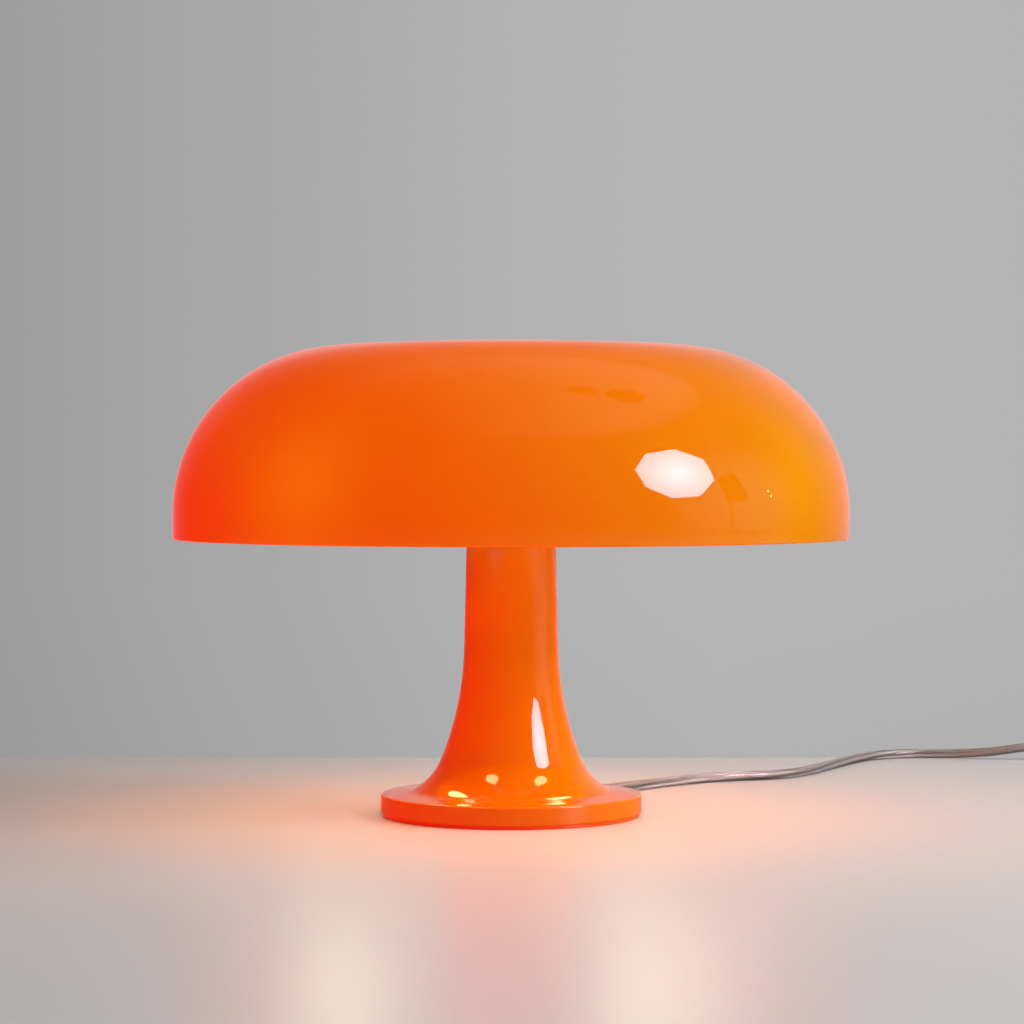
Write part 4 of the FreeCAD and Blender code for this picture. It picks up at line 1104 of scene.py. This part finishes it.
# a many-sided softbox that lights the lamp and the table and that the camera doesn't see
def makeSoftbox(look):
    away = outwards(look["towards"])
    middle = Vector(look["aim"]) + away * look["distance"]
    flat = ringsRound(look["radius"], 0.0, anglesRound(look["sides"]) + math.radians(look["turn"]))
    points = flat @ np.array(away.to_track_quat("Z", "Y").to_matrix()).T + np.array(middle)
    material, tree, glow = glowMaterial("softboxCloth")
    place = addNode(tree, "ShaderNodeTexCoord").outputs["Object"]
    glossy = addNode(tree, "ShaderNodeLightPath").outputs["Is Glossy Ray"]
    across = combined(tree, "DISTANCE", place, middle, "ShaderNodeVectorMath", "Value")
    shown = stretched(tree, across, look["shown"], (0.0, look["radius"]))
    give(tree, glow, {"Color": mixed(tree, glossy, look["spreadColour"], look["colour"]),
                      "Strength": mixed(tree, glossy, look["spread"], shown, kind="FLOAT")})
    roomPiece("softbox", points, material)


makeSoftbox(softboxLook)

# small things that only the gloss shows: a dark flag on its stand, two dark discs overhead, two tiny lights
reflectedLook = {
    "flag": [(1.271, -0.457, 0.590), (1.301, -0.265, 0.630), (1.388, -0.221, 0.322), (1.349, -0.437, 0.288)],
    "stand": [(1.353, -0.415, 0.290), (1.357, -0.397, 0.290), (1.364, -0.405, 0.0), (1.362, -0.423, 0.0)],
    "ceilingDiscs": [((0.345, -0.062, 1.456), 0.084), ((0.558, -0.045, 1.385), 0.118)],
    "tinyLights": [((1.385, 0.024, 0.386), 0.008), ((1.393, 0.042, 0.330), 0.008)],
    "unlit": ((0.012, 0.012, 0.012), 1.0),       # colours and strengths
    "tinyLight": ((1.0, 0.85, 0.25), 36.0),
    "discSides": 24,
}


def makeReflected(look):
    materials = {}
    for name in ("unlit", "tinyLight"):
        materials[name], tree, glow = glowMaterial(name)
        colour, strength = look[name]
        give(tree, glow, {"Color": (*colour, 1.0), "Strength": strength})
    pieces = [roomPiece(name, look[name], materials["unlit"]) for name in ("flag", "stand")]
    turn = anglesRound(look["discSides"])
    for name, material, lay in (("ceilingDisc", "unlit", 0), ("tinyLight", "tinyLight", 1)):
        for number, (middle, radius) in enumerate(look[name + "s"]):
            points = np.roll(ringsRound(radius, 0.0, turn), lay, axis=1) + np.array(middle)
            pieces.append(roomPiece("%s%d" % (name, number), points, materials[material]))
    for piece in pieces:
        piece.visible_diffuse = piece.visible_transmission = piece.visible_shadow = False


makeReflected(reflectedLook)

sideLook = {"towards": (92.0, 25.0), "aim": (0.0, 0.0, 0.12), "distance": 1.6, "size": 0.8, "watts": 13.0}


# a wide soft lamp from the right that gloss doesn't show
def makeSideLight(look):
    away = outwards(look["towards"])
    data = bpy.data.lights.new("sideLight", "AREA")
    data.shape = "DISK"
    data.size = look["size"]
    data.energy = look["watts"]
    light = newObject("sideLight", data)
    light.location = Vector(look["aim"]) + away * look["distance"]
    light.rotation_euler = away.to_track_quat("Z", "Y").to_euler()
    light.visible_camera = light.visible_glossy = False


makeSideLight(sideLook)

# brightness of the room by direction: each pair is a part of the direction and the grey there
roomLook = {
    "wall": [(-0.78, 0.01), (-0.67, 0.035), (-0.54, 0.08), (-0.36, 0.15), (-0.24, 0.23), (-0.17, 0.337),
             (-0.12, 0.370), (-0.07, 0.402), (0.0, 0.444), (0.07, 0.462), (0.17, 0.453), (0.29, 0.44),
             (0.47, 0.35), (0.57, 0.27), (0.68, 0.18), (0.77, 0.11), (0.85, 0.03)],
    "wallUpwards": [(-0.10, 0.96), (-0.04, 1.0), (0.27, 1.0), (0.40, 0.7), (0.57, 0.42), (0.70, 0.32),
                    (0.9, 0.22)],
    "behind": [(0.05, 0.0), (0.40, 1.0)],
    "ceiling": [(-0.5, 0.03), (-0.2, 0.08), (0.0, 0.14), (0.2, 0.24), (0.33, 0.30), (0.42, 0.38), (0.55, 0.38),
                (0.70, 0.36), (0.85, 0.28)],
    "ceilingUpwards": [(0.755, 0.0), (0.79, 0.55), (0.84, 1.0)],
    "haloTowards": (80.0, 8.0),
    "halo": [(0.84, 0.0), (0.90, 0.08), (0.95, 0.26), (0.985, 0.42)],
    "darkest": (0.03, 0.30),     # that gloss shows and that the camera sees
    "fill": [(-1.0, 1.0), (0.0, 1.0), (1.0, 0.75)],
    "fillUpwards": [(-0.1, 0.06), (0.1, 0.07), (1.0, 0.66)],
}


# the wall that the camera sees is grey and paler to the right; gloss sees it too, with a dim room in front
# and a paler ceiling on the right; everything else is lit by an even, dimmer fill
def makeRoom(look):
    scene.world = bpy.data.worlds.new("room")
    scene.world.use_nodes = True
    tree = scene.world.node_tree
    tree.nodes.clear()
    direction = addNode(tree, "ShaderNodeTexCoord").outputs["Generated"]
    path = addNode(tree, "ShaderNodeLightPath").outputs
    split = addNode(tree, "ShaderNodeSeparateXYZ", Vector=direction).outputs

    def patch(*parts):
        grey = ramped(tree, split[parts[0][0]], look[parts[0][1]])
        for axis, stops in parts[1:]:
            grey = combined(tree, "MULTIPLY", grey, ramped(tree, split[axis], look[stops]))
        return grey

    wall = patch(("X", "wall"), ("Z", "wallUpwards"), ("Y", "behind"))
    ceiling = patch(("X", "ceiling"), ("Z", "ceilingUpwards"))
    halo = ramped(tree, facing(tree, direction, outwards(look["haloTowards"])), look["halo"])
    grey = combined(tree, "ADD", combined(tree, "ADD", wall, ceiling), halo)
    grey = combined(tree, "MAXIMUM", grey, stretched(tree, path["Is Camera Ray"], look["darkest"]))
    fill = addNode(tree, "ShaderNodeBackground", Color=patch(("X", "fill"), ("Z", "fillUpwards")))
    seen = addNode(tree, "ShaderNodeBackground", Color=grey)
    clear = combined(tree, "MAXIMUM", path["Is Glossy Ray"], path["Is Transmission Ray"])
    choose = addNode(tree, "ShaderNodeMixShader")
    shown = combined(tree, "MAXIMUM", clear, path["Is Camera Ray"])
    for socket, value in zip(choose.inputs, (shown, fill.outputs[0], seen.outputs[0])):
        feed(tree, socket, value)
    addNode(tree, "ShaderNodeOutputWorld", Surface=choose.outputs[0])


makeRoom(roomLook)
print("stage set")
